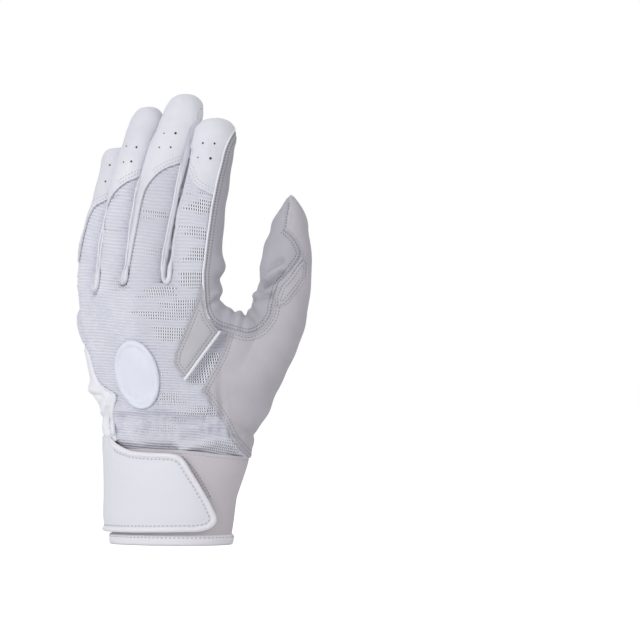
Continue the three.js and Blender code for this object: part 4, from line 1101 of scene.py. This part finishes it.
# height share, x and half width shares of the width, y and half depth shares of the depth
cuffRows = [[0, 0.015, 0.489, 0.043, 0.500], [0.5, 0.045, 0.517, 0.043, 0.506],
            [0.96, 0.092, 0.578, 0.043, 0.515], [1.2, 0.098, 0.595, 0.043, 0.520]]
cuffShapes = {
    "band": [[-0.9, 1.03], [-0.38, 1.025], [0.11, 1.018], [0.617, 0.936], [0.95, 0.88], [0.95, -1],
             [-0.9, -1]],
    "tab": [[-0.90, 1.150], [-0.50, 1.150], [-0.424, 1.150], [-0.374, 1.080], [-0.264, 1.008],
            [-0.133, 0.989], [0.100, 0.965], [0.199, 0.792], [0.298, 0.552], [0.352, 0.384], [0.369, 0.312],
            [0.366, 0.254], [0.324, 0.188], [0.240, 0.154], [0.14, 0.150], [-0.30, 0.135], [-0.90, 0.125]],
    "root": [[-0.9, 0.93], [0.5, 0.93], [0.5, 0.125], [-0.9, 0.125]],
    "hook": [[-0.10, 0.84], [0.07, 0.84], [0.23, 0.50], [0.27, 0.25], [-0.10, 0.25]],
    "loop": [[-0.40, 0.86], [0.08, 0.86], [0.24, 0.52], [0.28, 0.22], [-0.40, 0.22]],
}


def cuffSurface():
    c = cuffForm
    levels = np.linspace(*c["levels"], c["rows"])
    known = np.asarray(cuffRows)
    rings = []
    for share in levels:
        x, a, y, b = (np.interp(share, known[:, 0], known[:, k]) for k in (1, 2, 3, 4))
        rings.append(ringOf(x * c["width"], y * c["depth"], share * c["height"],
                            a * c["width"], b * c["depth"], c["sides"])[0])
    points = np.vstack(rings)
    faces = np.vstack(bands(c["rows"], c["sides"])[2])
    normals = normalsOf(points, faces)
    wave = c["wave"] * np.sin(points[:, 0] * 0.21 + points[:, 2] * 0.13) * ramp(points[:, 2], *c["waveFrom"])
    return points + normals * wave[:, None], normals, faces


def cuffAngle(points):
    c = cuffForm
    return np.degrees(np.arctan2(c["centre"][1] * c["depth"] - points[:, 1],
                                 points[:, 0] - c["centre"][0] * c["width"])) % 360


def sectorField(angle, start, end):
    return insideArc(angle, start, end) * cuffForm["fieldScale"]


cuff = cuffSurface()
cuffAt = cuffAngle(cuff[0])
cuffField = {key: outlineDistance(cuff[0], shares(shape, cuffForm["width"], cuffForm["height"]))
             for key, shape in cuffShapes.items()}
roundTab = curved(shares(cuffShapes["tab"], cuffForm["width"], cuffForm["height"]), 4)
cuffField["tab"] = outlineDistance(cuff[0], roundTab)
openSlit = sectorField(cuffAt, *cuffForm["slit"])
tabReach = sectorField(cuffAt, 0, cuffForm["hinge"])
frontHalf = sectorField(cuffAt, 0, cuffForm["slit"][0])
height = cuff[0][:, 2]

addPanel("cuffBand", cuff, [cuffField["band"], -openSlit, height - 1.0], "band", ["cuff_band"],
         0, 1.5, 0.5, 1.4, channels=(1.7,))
addPanel("cuffHem", cuff, [height - 0.1, cuffForm["hem"] - height, -openSlit + 0.2],
         "hem", ["cuff_hem"], 1.5, 2.8, 1.1, 1.5, rounded=True)
addPanel("loopPatch", cuff, [cuffField["loop"], frontHalf], "loop", ["loop_patch"], 0.55, 0.35, 0.15)
addPanel("hookPatch", cuff, [cuffField["hook"], frontHalf], "hook", ["hook_patch"], 2.1, 0.35, 0.1,
         body="tab")
# the binding ends where the tab meets the leather beside the slit
bindingForm = {"from": -27.5, "below": 46, "inset": 2.3, "fade": 2.5, "width": 2.9}
bound = np.maximum(cuff[0][:, 0] - bindingForm["from"], bindingForm["below"] - height)
inset = bindingForm["inset"] * ramp(bound, 0, bindingForm["fade"])
addPanel("closureTab", cuff, [cuffField["tab"] - inset, tabReach], "tab", ["closure_tab"],
         3.5, 0.95, 0.2, 1.2, 0.3, body="tab", channels=(1.2, 2.7))
addPanel("tabBinding", cuff, [cuffField["tab"], bindingForm["width"] - cuffField["tab"], tabReach, bound],
         "edging", ["tab_binding"], 4.4, 0.6, 1.5, 1.45, rounded=True, body="tab")
addPanel("tabRoot", cuff, [cuffField["root"], sectorField(cuffAt, *cuffForm["root"])], "tab",
         ["tab_root"], 3.6, 2.2, 1.1, 1.6)


# Lines laid on the panels
def treeOf(name):
    surface = surfaces[name]
    if surface["tree"] is None:
        surface["tree"] = BVHTree.FromPolygons(surface["points"].tolist(), surface["faces"].tolist())
    return surface["tree"]


def rayHit(tree, x, z, side=-1):
    return tree.ray_cast(Vector((x, side * 200, z)), Vector((0, -side, 0)))


# Where lines drawn in the viewer's plane meet a panel, split where they leave it
def laid(line, name, lift=0.0, spacing=0.6, side=-1):
    surface, tree = surfaces[name], treeOf(name)
    runs, run = [], []
    for x, z in evenly(line, spacing):
        spot, _, index, _ = rayHit(tree, x, z, side)
        if spot is None:
            if len(run) > 2:
                runs.append(run)
            run = []
            continue
        corners = surface["faces"][index]
        weights = 1 / np.maximum(np.linalg.norm(surface["points"][corners] - np.array(spot), axis=1), 1e-3)
        up = (surface["normals"][corners] * weights[:, None]).sum(0)
        up /= np.linalg.norm(up)
        run.append((np.array(spot) + up * lift, up))
    if len(run) > 2:
        runs.append(run)
    return [(np.array([p for p, _ in run]), np.array([u for _, u in run])) for run in runs]


def beside(line, distance):
    line = np.asarray(line, float)
    along = np.gradient(line, axis=0)
    along /= np.maximum(np.linalg.norm(along, axis=1), 1e-9)[:, None]
    return line + np.column_stack([along[:, 1], -along[:, 0]]) * distance


class LineWork:
    # Points with their outward directions, and the edges between them, ready for a node tree

    def __init__(self):
        self.points, self.ups, self.edges, self.swell, self.count = [], [], [], [], 0
        self.extra = {}

    def addRun(self, points, ups, swell=1.0):
        n = len(points)
        k = np.arange(n - 1) + self.count
        self.addLinks(points, ups, np.column_stack([k, k + 1]) - self.count, swell)

    def addLinks(self, points, ups, links, swell=1.0):
        self.points.append(points)
        self.ups.append(ups)
        self.edges.append(links + self.count)
        self.swell.append(np.broadcast_to(swell, len(points)).astype(float))
        self.count += len(points)

    def addLine(self, line, name, lift=0.0, side=-1, swell=1.0):
        for points, ups in laid(line, name, lift, side=side):
            self.addRun(points, ups, swell)
        return self

    def build(self, name):
        points = np.vstack(self.points)
        mesh = bpy.data.meshes.new(name)
        mesh.from_pydata(toFrame(points).tolist(), np.vstack(self.edges).tolist(), [])
        c, s = turning
        up = np.vstack(self.ups)
        up = np.column_stack([up[:, 0] * c - up[:, 1] * s, up[:, 0] * s + up[:, 1] * c, up[:, 2]])
        markOn(mesh, "up", up, "FLOAT_VECTOR")
        markOn(mesh, "swell", np.concatenate(self.swell))
        for key, value in self.extra.items():
            markOn(mesh, key, value)
        return placed(name, mesh)


# Geometry node trees
class Tree(Nodes):
    # A geometry node tree under construction, with named inputs

    def __init__(self, name, sizes):
        super().__init__(bpy.data.node_groups.new(name, "GeometryNodeTree"))
        sizes = {"Lines": "Geometry", **sizes}
        self.sockets = {label: self.socket(label, kind) for label, kind in sizes.items()}
        self.socket("Made", "Geometry", "OUTPUT")
        self.start, self.end = self.add("NodeGroupInput"), self.add("NodeGroupOutput")

    def socket(self, label, kind, way="INPUT"):
        kind = "NodeSocket" + kind
        return self.tree.interface.new_socket(label, in_out=way, socket_type=kind).identifier

    def size(self, label):
        return self.start.outputs[label]

    def attribute(self, name, kind):
        return self.add("GeometryNodeInputNamedAttribute", {"Name": name}, data_type=kind)

    def finish(self, made):
        real = self.add("GeometryNodeRealizeInstances", {0: made})
        smooth = self.add("GeometryNodeSetShadeSmooth", {"Geometry": real})
        paint = self.add("GeometryNodeSetMaterial", {"Geometry": smooth, "Material": self.size("Finish")})
        self.put(self.end.inputs[0], paint)
        return self


def cordTree():
    t = Tree("cordAlongLine", {"Radius": "Float", "Sides": "Int", "Step": "Float", "Finish": "Material"})
    swell = t.attribute("swell", "FLOAT")
    line = t.add("GeometryNodeMeshToCurve", {"Mesh": t.size("Lines")})
    even = t.add("GeometryNodeResampleCurve", {"Curve": line, "Length": t.size("Step")}, mode="LENGTH")
    thick = t.add("GeometryNodeSetCurveRadius", {"Curve": even, "Radius": swell})
    ring = t.add("GeometryNodeCurvePrimitiveCircle",
                 {"Radius": t.size("Radius"), "Resolution": t.size("Sides")})
    cord = t.add("GeometryNodeCurveToMesh", {"Curve": thick, "Profile Curve": ring, "Fill Caps": True})
    if "Scale" in cord.inputs:
        t.put(cord.inputs["Scale"], swell)
    return t.finish(cord)


def facing(t, forward, up):
    first = t.add("FunctionNodeAlignRotationToVector", {"Vector": forward}, axis="X")
    return t.add("FunctionNodeAlignRotationToVector", {"Rotation": first, "Vector": up}, axis="Z",
                 pivot_axis="X")


def stitchTree():
    sides = ("Length", "Width", "Height")
    t = Tree("stitchesAlongLine", {"Pitch": "Float", **dict.fromkeys(sides, "Float"), "Finish": "Material"})
    line = t.add("GeometryNodeMeshToCurve", {"Mesh": t.size("Lines")})
    even = t.add("GeometryNodeCurveToPoints", {"Curve": line, "Length": t.size("Pitch")}, mode="LENGTH")
    bead = t.add("GeometryNodeMeshUVSphere", {"Segments": 8, "Rings": 5, "Radius": 0.5})
    size = t.add("ShaderNodeCombineXYZ", {k: t.size(side) for k, side in enumerate(sides)})
    turn = facing(t, even.outputs["Tangent"], t.attribute("up", "FLOAT_VECTOR"))
    return t.finish(t.add("GeometryNodeInstanceOnPoints", {
        "Points": even.outputs["Points"], "Instance": bead, "Rotation": turn, "Scale": size}))


def punchTree():
    t = Tree("punchedHoles", {"Radius": "Float", "Depth": "Float", "Finish": "Material"})
    plug = t.add("GeometryNodeMeshCylinder", {
        "Vertices": 14, "Radius": t.size("Radius"), "Depth": t.size("Depth")})
    turn = t.add("FunctionNodeAlignRotationToVector", {"Vector": t.attribute("up", "FLOAT_VECTOR")}, axis="Z")
    return t.finish(t.add("GeometryNodeInstanceOnPoints", {
        "Points": t.size("Lines"), "Instance": plug, "Rotation": turn,
        "Scale": t.attribute("swell", "FLOAT")}))


def pileTree():
    t = Tree("hooksOrLoops", {"Density": "Float", "Size": "Float", "Thickness": "Float", "Sweep": "Float",
                              "Seed": "Int", "Finish": "Material"})
    spots = t.add("GeometryNodeDistributePointsOnFaces", {
        "Mesh": t.size("Lines"), "Density": t.size("Density"), "Seed": t.size("Seed")})
    arc = t.add("GeometryNodeCurveArc", {
        "Resolution": 6, "Radius": t.size("Size"), "Sweep Angle": t.size("Sweep")}, mode="RADIUS")
    ring = t.add("GeometryNodeCurvePrimitiveCircle", {"Resolution": 3, "Radius": t.size("Thickness")})
    tube = t.add("GeometryNodeCurveToMesh", {"Curve": arc, "Profile Curve": ring, "Fill Caps": True})
    stand = t.add("GeometryNodeTransform", {"Geometry": tube, "Rotation": (math.pi / 2, 0, 0)})
    spin = t.add("FunctionNodeRandomValue", {3: 2 * math.pi, "Seed": t.size("Seed")}, data_type="FLOAT")
    turn = t.add("FunctionNodeAlignRotationToVector", {"Vector": spots.outputs["Normal"]}, axis="Z")
    angles = t.add("ShaderNodeCombineXYZ", {2: spin.outputs[1]})
    euler = t.add("FunctionNodeEulerToRotation", {0: angles})
    about = t.add("FunctionNodeRotateRotation", {"Rotation": turn, "Rotate By": euler},
                  rotation_space="LOCAL")
    return t.finish(t.add("GeometryNodeInstanceOnPoints", {
        "Points": spots.outputs["Points"], "Instance": stand, "Rotation": about}))


trees = {"cord": cordTree(), "stitch": stitchTree(), "punch": punchTree(), "pile": pileTree()}


def grow(name, holder, kind, sizes, look, body="glove", nodes=()):
    tree = trees[kind]
    modifier = holder.modifiers.new(kind, "NODES")
    modifier.node_group = tree.tree
    for label, value in {**sizes, "Finish": looks[look]}.items():
        modifier[tree.sockets[label]] = value
    made = grownMesh(holder)
    old = holder.data
    holder.modifiers.clear()
    bpy.data.objects.remove(holder)
    bpy.data.meshes.remove(old)
    made.name = name
    finishPiece(placed(name, made), body, nodes)
    print("grown", name, len(made.polygons), "faces")


# Ribs of the knit
ribForm = {"pitch": knitLook["pitch"], "radius": 0.66, "openShare": 0.82, "sink": 0.26, "sides": 6,
           "step": 1.25, "uneven": 0.07}


def addRibs():
    r, surface = ribForm, surfaces["backKnit"]
    points, normals, faces = (surface[key] for key in ("points", "normals", "faces"))
    along = clothMap(points)[:, 1]
    place, up, links = contour(points, normals, faces, along, 0.0, r["pitch"])
    work = LineWork()
    swell = 1 - (1 - r["openShare"]) * openRows(place)
    swell *= 1 + r["uneven"] * np.sin(place[:, 0] * 1.7 + place[:, 2] * 3.1)
    work.addLinks(place - up * r["sink"], up, links, swell)
    # the ribs carry the painted shade mark too
    work.extra["paintedShade"] = paintedShadeAmount(place)
    grow("knitRibs", work.build("knitRibPath"), "cord", {
        "Radius": r["radius"] / 1000, "Sides": r["sides"], "Step": r["step"] / 1000}, "yarn")


addRibs()

# Piping, bindings and folded edges: radius in millimetres, look, slot, and the nodes it stands for
cordForm = {
    "sidePiping": (0.6, "cord", "piping", ["side_piping"]),
    "crotchSeam": (0.46, "strap", "leather", []),
    "strapPiping": (0.85, "cord", "piping", ["strap_piping"]),
    "slitBinding": (1.25, "cord", "piping", ["slit_binding"]),
    "forkFolds": (1.35, "tip", "smooth", []),
    "wallFolds": (0.5, "side", "smooth", []),
    "tipEdges": (0.36, "tip", "smooth", []),
    "leatherEdges": (0.36, "strap", "leather", []),
}
forkEnds = [
    [(165.6, 258), (165, 266), (164.3, 272), (164.2, 277), (165.4, 281), (167.3, 282.3), (169.2, 280.5),
     (170.3, 276), (170.8, 270), (172, 262)],
    [(125, 266), (123.8, 274), (122.6, 280), (123.4, 283), (125.2, 281), (126.6, 274), (127.6, 266)],
    [(97.2, 268), (95.2, 276), (93.2, 284), (93, 288.5), (94.6, 289), (96.2, 284), (97.4, 276), (98.4, 268)],
]
surfaces["skin"] = {"points": skinPoints, "normals": skinNormals, "faces": skinFaces, "gap": None,
                    "tree": None}
cordLines = {name: LineWork() for name in cordForm}
bridgePoints = 7
oneLine = 50.0  # a step so wide that only the first level is met


# A line that bridges a groove narrower than twice the reach, instead of dipping into it
def bridged(line, name, lift, reach):
    tree, spots = treeOf(name), []
    for x, z in evenly(line, 0.5):
        hits = [rayHit(tree, x + off, z)[0] for off in np.linspace(-reach, reach, bridgePoints)]
        spots.append((x, min(hit.y for hit in hits if hit is not None), z))
    spots = np.array(spots)
    padded = np.pad(spots[:, 1], bridgePoints // 2, mode="edge")
    spots[:, 1] = np.convolve(padded, np.ones(bridgePoints) / bridgePoints, mode="valid") - lift
    return spots, np.tile([0.0, -1.0, 0.0], (len(spots), 1))


# Inset line along a panel's own edge, kept where keep says
def insetRow(name, gap, keep=None):
    panel = surfaces[name]
    place, up, links = contour(panel["points"], panel["normals"], panel["faces"], panel["gap"], gap, oneLine)
    if keep is not None:
        good = keep(place, up)
        links = links[good[links[:, 0]] & good[links[:, 1]]]
    return place, up, links


indexEnd = 38  # where the white piping of the index finger gives way to a plain seam
cordLines["sidePiping"].addLine(seams["index"][2:indexEnd], "skin", 0.5)
cordLines["crotchSeam"].addLine(seams["index"][indexEnd - 1:], "skin", 0.35)
strapEdge = traced([(185.6, 379), (196, 363.5), (208, 346.5), (219.5, 330.5)], 3)
cordLines["strapPiping"].addLine(strapEdge, "skin", 1.3)
slitLine = traced([(103, 387), (109, 390.5), (114, 393.6), (115.4, 398), (113.4, 405), (112.4, 412),
                   (112.4, 424), (113.5, 434), (116.5, 440)])
for run, ups in laid(slitLine, "skin", 0.35):
    cordLines["slitBinding"].addRun(run, ups, 0.3 + 0.7 * ramp(-run[:, 2], -82, -77))
for end in forkEnds:
    spots, ups = bridged(traced(end), "skin", -0.5, 1.6)
    cordLines["forkFolds"].addRun(spots, ups, 0.45 + 0.55 * ramp(spots[:, 2].max() - spots[:, 2], 0, 6))
for name, fork in forks.items():
    place, up, links = insetRow(name, 0.45, lambda place, up: (
        (up[:, 1] < -0.1) & (place[:, 2] > fork[2] + 3) & (around(place, fork[1])[0] > 0)))
    cordLines["wallFolds"].addLinks(place + up * 0.1, up, links)
for finger in fingerNames:
    cordLines["tipEdges"].addLine(capLines[finger], finger + "Cap", -0.12)
for edge in (seams["thumbEdge"], seams["thumbHeel"][:-2]):
    cordLines["leatherEdges"].addLine(beside(edge, -0.3), "thumbWrap", -0.05)
cordLines["leatherEdges"].addLinks(*insetRow("backStrap", 0.35))
cordLines["leatherEdges"].addLinks(*insetRow("thumbPatch", 0.35))
for name, (radius, look, slotName, nodes) in cordForm.items():
    sizes = {"Radius": radius / 1000, "Sides": 10, "Step": 0.0007}
    grow(name, cordLines[name].build(name + "Path"), "cord", sizes, look, nodes=nodes)

# Stitches: pitch, length, width and height in millimetres, then the look and the body
stitchForm = {
    "seamStitches": (1.75, 1.2, 0.5, 0.4, "greyThread", "glove"),
    "tipStitches": (1.7, 0.95, 0.5, 0.36, "thread", "glove"),
    "sideStitches": (1.6, 1.1, 0.55, 0.34, "darkThread", "glove"),
    # dark dots along the caps' edges: stitches and painted shadow under the edge in one
    "edgeStitchesAndShadow": (1.2, 0.62, 0.44, 0.34, "darkThread", "glove"),
    "cuffStitches": (2.3, 1.6, 0.6, 0.5, "thread", "glove"),
    "tabStitches": (2.3, 1.75, 0.9, 0.6, "paleThread", "tab"),
}
stitchWork = {name: LineWork() for name in stitchForm}
onTop, capRowShare = 0.02, 0.42  # lift of a stitch's middle over its panel; part of a cap's edge that is sewn
for distance in (1.4, 3.0):
    stitchWork["sideStitches"].addLine(beside(seams["index"], -distance)[4:], "indexGusset", onTop)
    stitchWork["seamStitches"].addLine(beside(seams["index"][40:64], distance), "thumbWrap", onTop)
    for edge in (seams["thumbEdge"], seams["thumbHeel"][:-1]):
        stitchWork["seamStitches"].addLine(beside(edge, -distance - 0.1), "thumbWrap", onTop)
    for finger in fingerNames:
        edge, side = capLines[finger], 1
        if finger == "index":
            side = -1
        else:
            edge = edge[:int(len(edge) * capRowShare)]
        stitchWork["tipStitches"].addLine(beside(edge, side * distance), finger + "Cap", onTop)
stitchWork["sideStitches"].addLine(beside(seams["thumbTip"][1:-3], 0.5), "skin", 0.5)
for finger in fingerNames[1:]:  # the row that closes each cap's edge over the knit; its dark thread also stands as painted shadow under the edge
    stitchWork["edgeStitchesAndShadow"].addLine(beside(capLines[finger], -0.8), "backKnit", 0.4)
for name, insets in (("backStrap", (1.3, 2.8)), ("thumbPatch", (1.1, 2.6)), ("palmHeelPatch", (1.1, 2.4)),
                     ("thumbFront", (1.4,)), ("palmLeather", (1.5,)), ("tabRoot", (1.8,))):
    for gap in insets:
        stitchWork["seamStitches"].addLinks(*insetRow(name, gap, lambda place, up: (
            (place[:, 2] > 4) & ((up[:, 1] > 0) | (name != "palmLeather")))))
stitchWork["cuffStitches"].addLinks(*insetRow("cuffBand", 1.7))
for distance in (0.0, 1.5):
    slant = traced([(184.5, 455.5), (197, 470), (205.5, 484), (211, 494.5)])
    stitchWork["seamStitches"].addLine(beside(slant, distance), "cuffBand", 0.05)
hem = surfaces["cuffHem"]
hemRow = contour(hem["points"], hem["normals"], hem["faces"], hem["points"][:, 2], 4.3, oneLine)
stitchWork["cuffStitches"].addLinks(*hemRow)
stitchWork["tabStitches"].addLinks(*insetRow("closureTab", 1.2, lambda place, up: (
    (cuffAngle(place) < cuffForm["hinge"] - 1.5) & ((place[:, 0] > -28) | (place[:, 2] < 40)))))
for name, (*measures, look, body) in stitchForm.items():
    sizes = {label: value / 1000 for label, value in zip(("Pitch", "Length", "Width", "Height"), measures)}
    grow(name, stitchWork[name].build(name + "Path"), "stitch", sizes, look, body)

# Punched holes of the fingertips, as dark plugs that are painted shade where the holes open into the glove
holeForm = {"radius": 0.5, "depth": 0.5}
holes = {
    "little": [(108.4, 164, 1), (104, 180.5, 1)],
    "ring": [(126, 145.8, 0.9), (136.4, 147.1, 1.1), (123.4, 161.9, 0.9), (131.3, 161.3, 1.1)],
    "middle": [(164.5, 134, 0.85), (176.2, 134, 1.25), (159.9, 148, 0.85), (171.4, 148, 1)],
    "index": [(203.8, 144.3, 1.05), (215.4, 144.9, 1.1), (198.8, 158.6, 0.85), (211.4, 159.7, 1.35)],
}


def addHoles():
    points, ups, swells = [], [], []
    for finger, spots in holes.items():
        for (x, z), swell in zip(fromPhoto([spot[:2] for spot in spots]), [spot[2] for spot in spots]):
            for run, up in laid([(x, z - 0.2), (x, z + 0.2)], finger + "Cap", -0.18, 0.1)[:1]:
                points.append(run[len(run) // 2])
                ups.append(up[len(up) // 2])
                swells.append(swell)
    work = LineWork()
    work.addLinks(np.array(points), np.array(ups), np.empty((0, 2), int), np.array(swells))
    grow("tipHoles", work.build("tipHolePoints"), "punch", {
        "Radius": holeForm["radius"] / 1000, "Depth": holeForm["depth"] / 1000}, "holeShade")


addHoles()

# Hooks and loops
pileForm = {
    "hookPile": {"Density": 0.9e6, "Size": 0.3, "Thickness": 0.07, "Sweep": 230, "Seed": 4,
                 "on": "hookPatch", "look": "hook", "body": "tab", "inward": True, "lift": -0.55},
    "loopPile": {"Density": 1.1e6, "Size": 0.32, "Thickness": 0.06, "Sweep": 300, "Seed": 9,
                 "on": "loopPatch", "look": "loop", "body": "glove", "inward": False, "lift": 0.1},
}


def addPile(name):
    form = pileForm[name]
    s = surfaces[form["on"]]
    faces = s["faces"][:, ::-1] if form["inward"] else s["faces"]
    inside = s["gap"][faces].min(1) > 0.4
    holder = placed(name, meshFrom(name, toFrame(s["points"] + s["normals"] * form["lift"]), faces[inside]))
    sizes = {"Density": form["Density"], "Size": form["Size"] / 1000, "Thickness": form["Thickness"] / 1000,
             "Sweep": math.radians(form["Sweep"]), "Seed": form["Seed"]}
    grow(name, holder, "pile", sizes, form["look"], form["body"])


for name in pileForm:
    addPile(name)

# Blank badge
badgeForm = {"place": [-0.188, 0.378], "width": 23, "height": 37, "tilt": -14, "rim": 2.2, "top": 2.0,
             "dish": 0.8, "dishFrom": 0.55, "dishTo": 1.15, "crown": 0.45, "sides": 120, "around": 14,
             "foot": 0.45, "sink": 0.1, "levels": [(0.0, 0.78, 16), (0.8, 1.0, 18)]}


def badgeRing(tree, centre, level):
    b, tilt = badgeForm, math.radians(badgeForm["tilt"])
    ring = []
    for angle in np.arange(b["sides"]) / b["sides"] * 2 * math.pi:
        across, rise = b["width"] / 2 * level * math.cos(angle), b["height"] / 2 * level * math.sin(angle)
        x = centre[0] + across * math.cos(tilt) + rise * math.sin(tilt)
        z = centre[1] - across * math.sin(tilt) + rise * math.cos(tilt)
        ring.append(np.array(rayHit(tree, x, z)[0]))
    return np.array(ring)


# A rounded rim round a dish, whose middle rises again a little
def badgeHeight(level):
    b = badgeForm
    edge = (1 - level) * b["width"] / 2
    rim = math.sqrt(max(0.0, 1 - (1 - min(1, edge / (b["rim"] / 2))) ** 2))
    dish = ramp(np.array(edge), b["rim"] * b["dishFrom"], b["rim"] * b["dishTo"])
    height = b["top"] * (b["foot"] + (1 - b["foot"]) * rim) - b["dish"] * dish
    return float(height + b["crown"] * (1 - level ** 2) * dish)


def addBadge():
    b = badgeForm
    tree, sides = treeOf("skin"), b["sides"]
    centre = np.array(b["place"]) * [palmWidth, gloveLength]
    near = np.linalg.norm(skinPoints - np.array(rayHit(tree, *centre)[0]), axis=1) < b["around"]
    up = skinNormals[near].mean(0)
    up /= np.linalg.norm(up)
    levels = np.concatenate([np.linspace(*row) for row in b["levels"]])
    grounds = [badgeRing(tree, centre, level) for level in levels]
    rings = [ground + up * badgeHeight(level) for ground, level in zip(grounds, levels)]
    rings.append(grounds[-1] - up * b["sink"])
    # the first ring is a single point, so the fan at the top starts from the second
    k, n, faces = bands(len(rings), sides)
    last, hub = (len(rings) - 1) * sides, len(rings) * sides
    faces = np.vstack(faces[2:] + [np.column_stack([np.full(sides, hub), sides + n, sides + k]),
                                   np.column_stack([np.full(sides, hub + 1), last + k, last + n])])
    points, faces = packed(np.vstack(rings + [[rings[0].mean(0)], [rings[-1].mean(0)]]), faces)
    a, m, c = (points[faces[:, q]] for q in range(3))
    if np.einsum("ij,ij->i", a, np.cross(m, c)).sum() < 0:
        faces = faces[:, ::-1]
    addPiece("backBadge", relaxed(points, faces, 2), faces, "badge", "glove", ["back_badge"],
             sharp=False)


addBadge()

# Floor, light and camera
stageLook = {"floor": tone(250, 250, 251), "glow": 0.62, "world": 0.42, "lens": 260, "aimX": 81.2,
             "aimZ": 119.6, "distance": 2468, "floorSize": 3.0, "middle": (0, 0, 130)}
lampForm = {"key": {"spot": (-560, -620, 380), "power": 3.15, "size": 0.6},
            "fill": {"spot": (480, -640, 120), "power": 1.8, "size": 0.8},
            "top": {"spot": (-60, 60, 820), "power": 1.3, "size": 0.9}}


def floorMaterial():
    s = Shader("paleFloor")
    grain = s.noise(s.object(), 60)
    s.colour(s.blendColours(grain, tone(248, 248, 249), stageLook["floor"]))
    path = s.add("ShaderNodeLightPath")
    s.surface.inputs["Emission Color"].default_value = (1, 1, 1, 1)
    s.put(s.surface.inputs["Emission Strength"], s.times(path.outputs["Is Camera Ray"], stageLook["glow"]))
    return s.finish(0.9, 0.0, 0.1)


def buildStage():
    size = stageLook["floorSize"]
    mesh = meshFrom("floor", [(-size, -size, 0), (size, -size, 0), (size, size, 0), (-size, size, 0)],
                    [(0, 1, 2), (0, 2, 3)])
    mesh.materials.append(floorMaterial())
    floor = placed("floor", mesh)
    world = bpy.context.scene.world or bpy.data.worlds.new("studio")
    bpy.context.scene.world = world
    world.use_nodes = True
    t = Nodes(world.node_tree)
    t.tree.nodes.clear()
    path = t.add("ShaderNodeLightPath")
    either = t.add("ShaderNodeMath", {
        0: path.outputs["Is Camera Ray"], 1: path.outputs["Is Glossy Ray"]}, operation="MAXIMUM")
    every = t.add("ShaderNodeMath", {0: either, 1: path.outputs["Is Transmission Ray"]}, operation="MAXIMUM")
    seen, lit = (t.add("ShaderNodeBackground", {"Color": (1, 1, 1, 1), "Strength": strength})
                 for strength in (1.0, stageLook["world"]))
    mix = t.add("ShaderNodeMixShader", {0: every, 1: lit, 2: seen})
    t.add("ShaderNodeOutputWorld", {"Surface": mix})


def aimed(name, data, place, target):
    holder = placed(name, data)
    holder.location = place
    holder.rotation_euler = (Vector(target) - Vector(place)).to_track_quat("-Z", "Y").to_euler()
    return holder


def buildLights():
    middle = toFrame([stageLook["middle"]])[0]
    for name, form in lampForm.items():
        lamp = bpy.data.lights.new(name, "AREA")
        lamp.energy, lamp.size = form["power"], form["size"]
        aimed(name, lamp, toFrame([form["spot"]])[0], middle)


def buildCamera():
    data = bpy.data.cameras.new("camera")
    data.lens, data.sensor_width = stageLook["lens"], 36
    target = toFrame([[stageLook["aimX"], 0, stageLook["aimZ"]]])[0]
    place = toFrame([[stageLook["aimX"], -stageLook["distance"], stageLook["aimZ"]]])[0]
    bpy.context.scene.camera = aimed("camera", data, place, target)


buildStage()
buildLights()
buildCamera()
bpy.context.scene.view_settings.view_transform = "Standard"
print("stage")
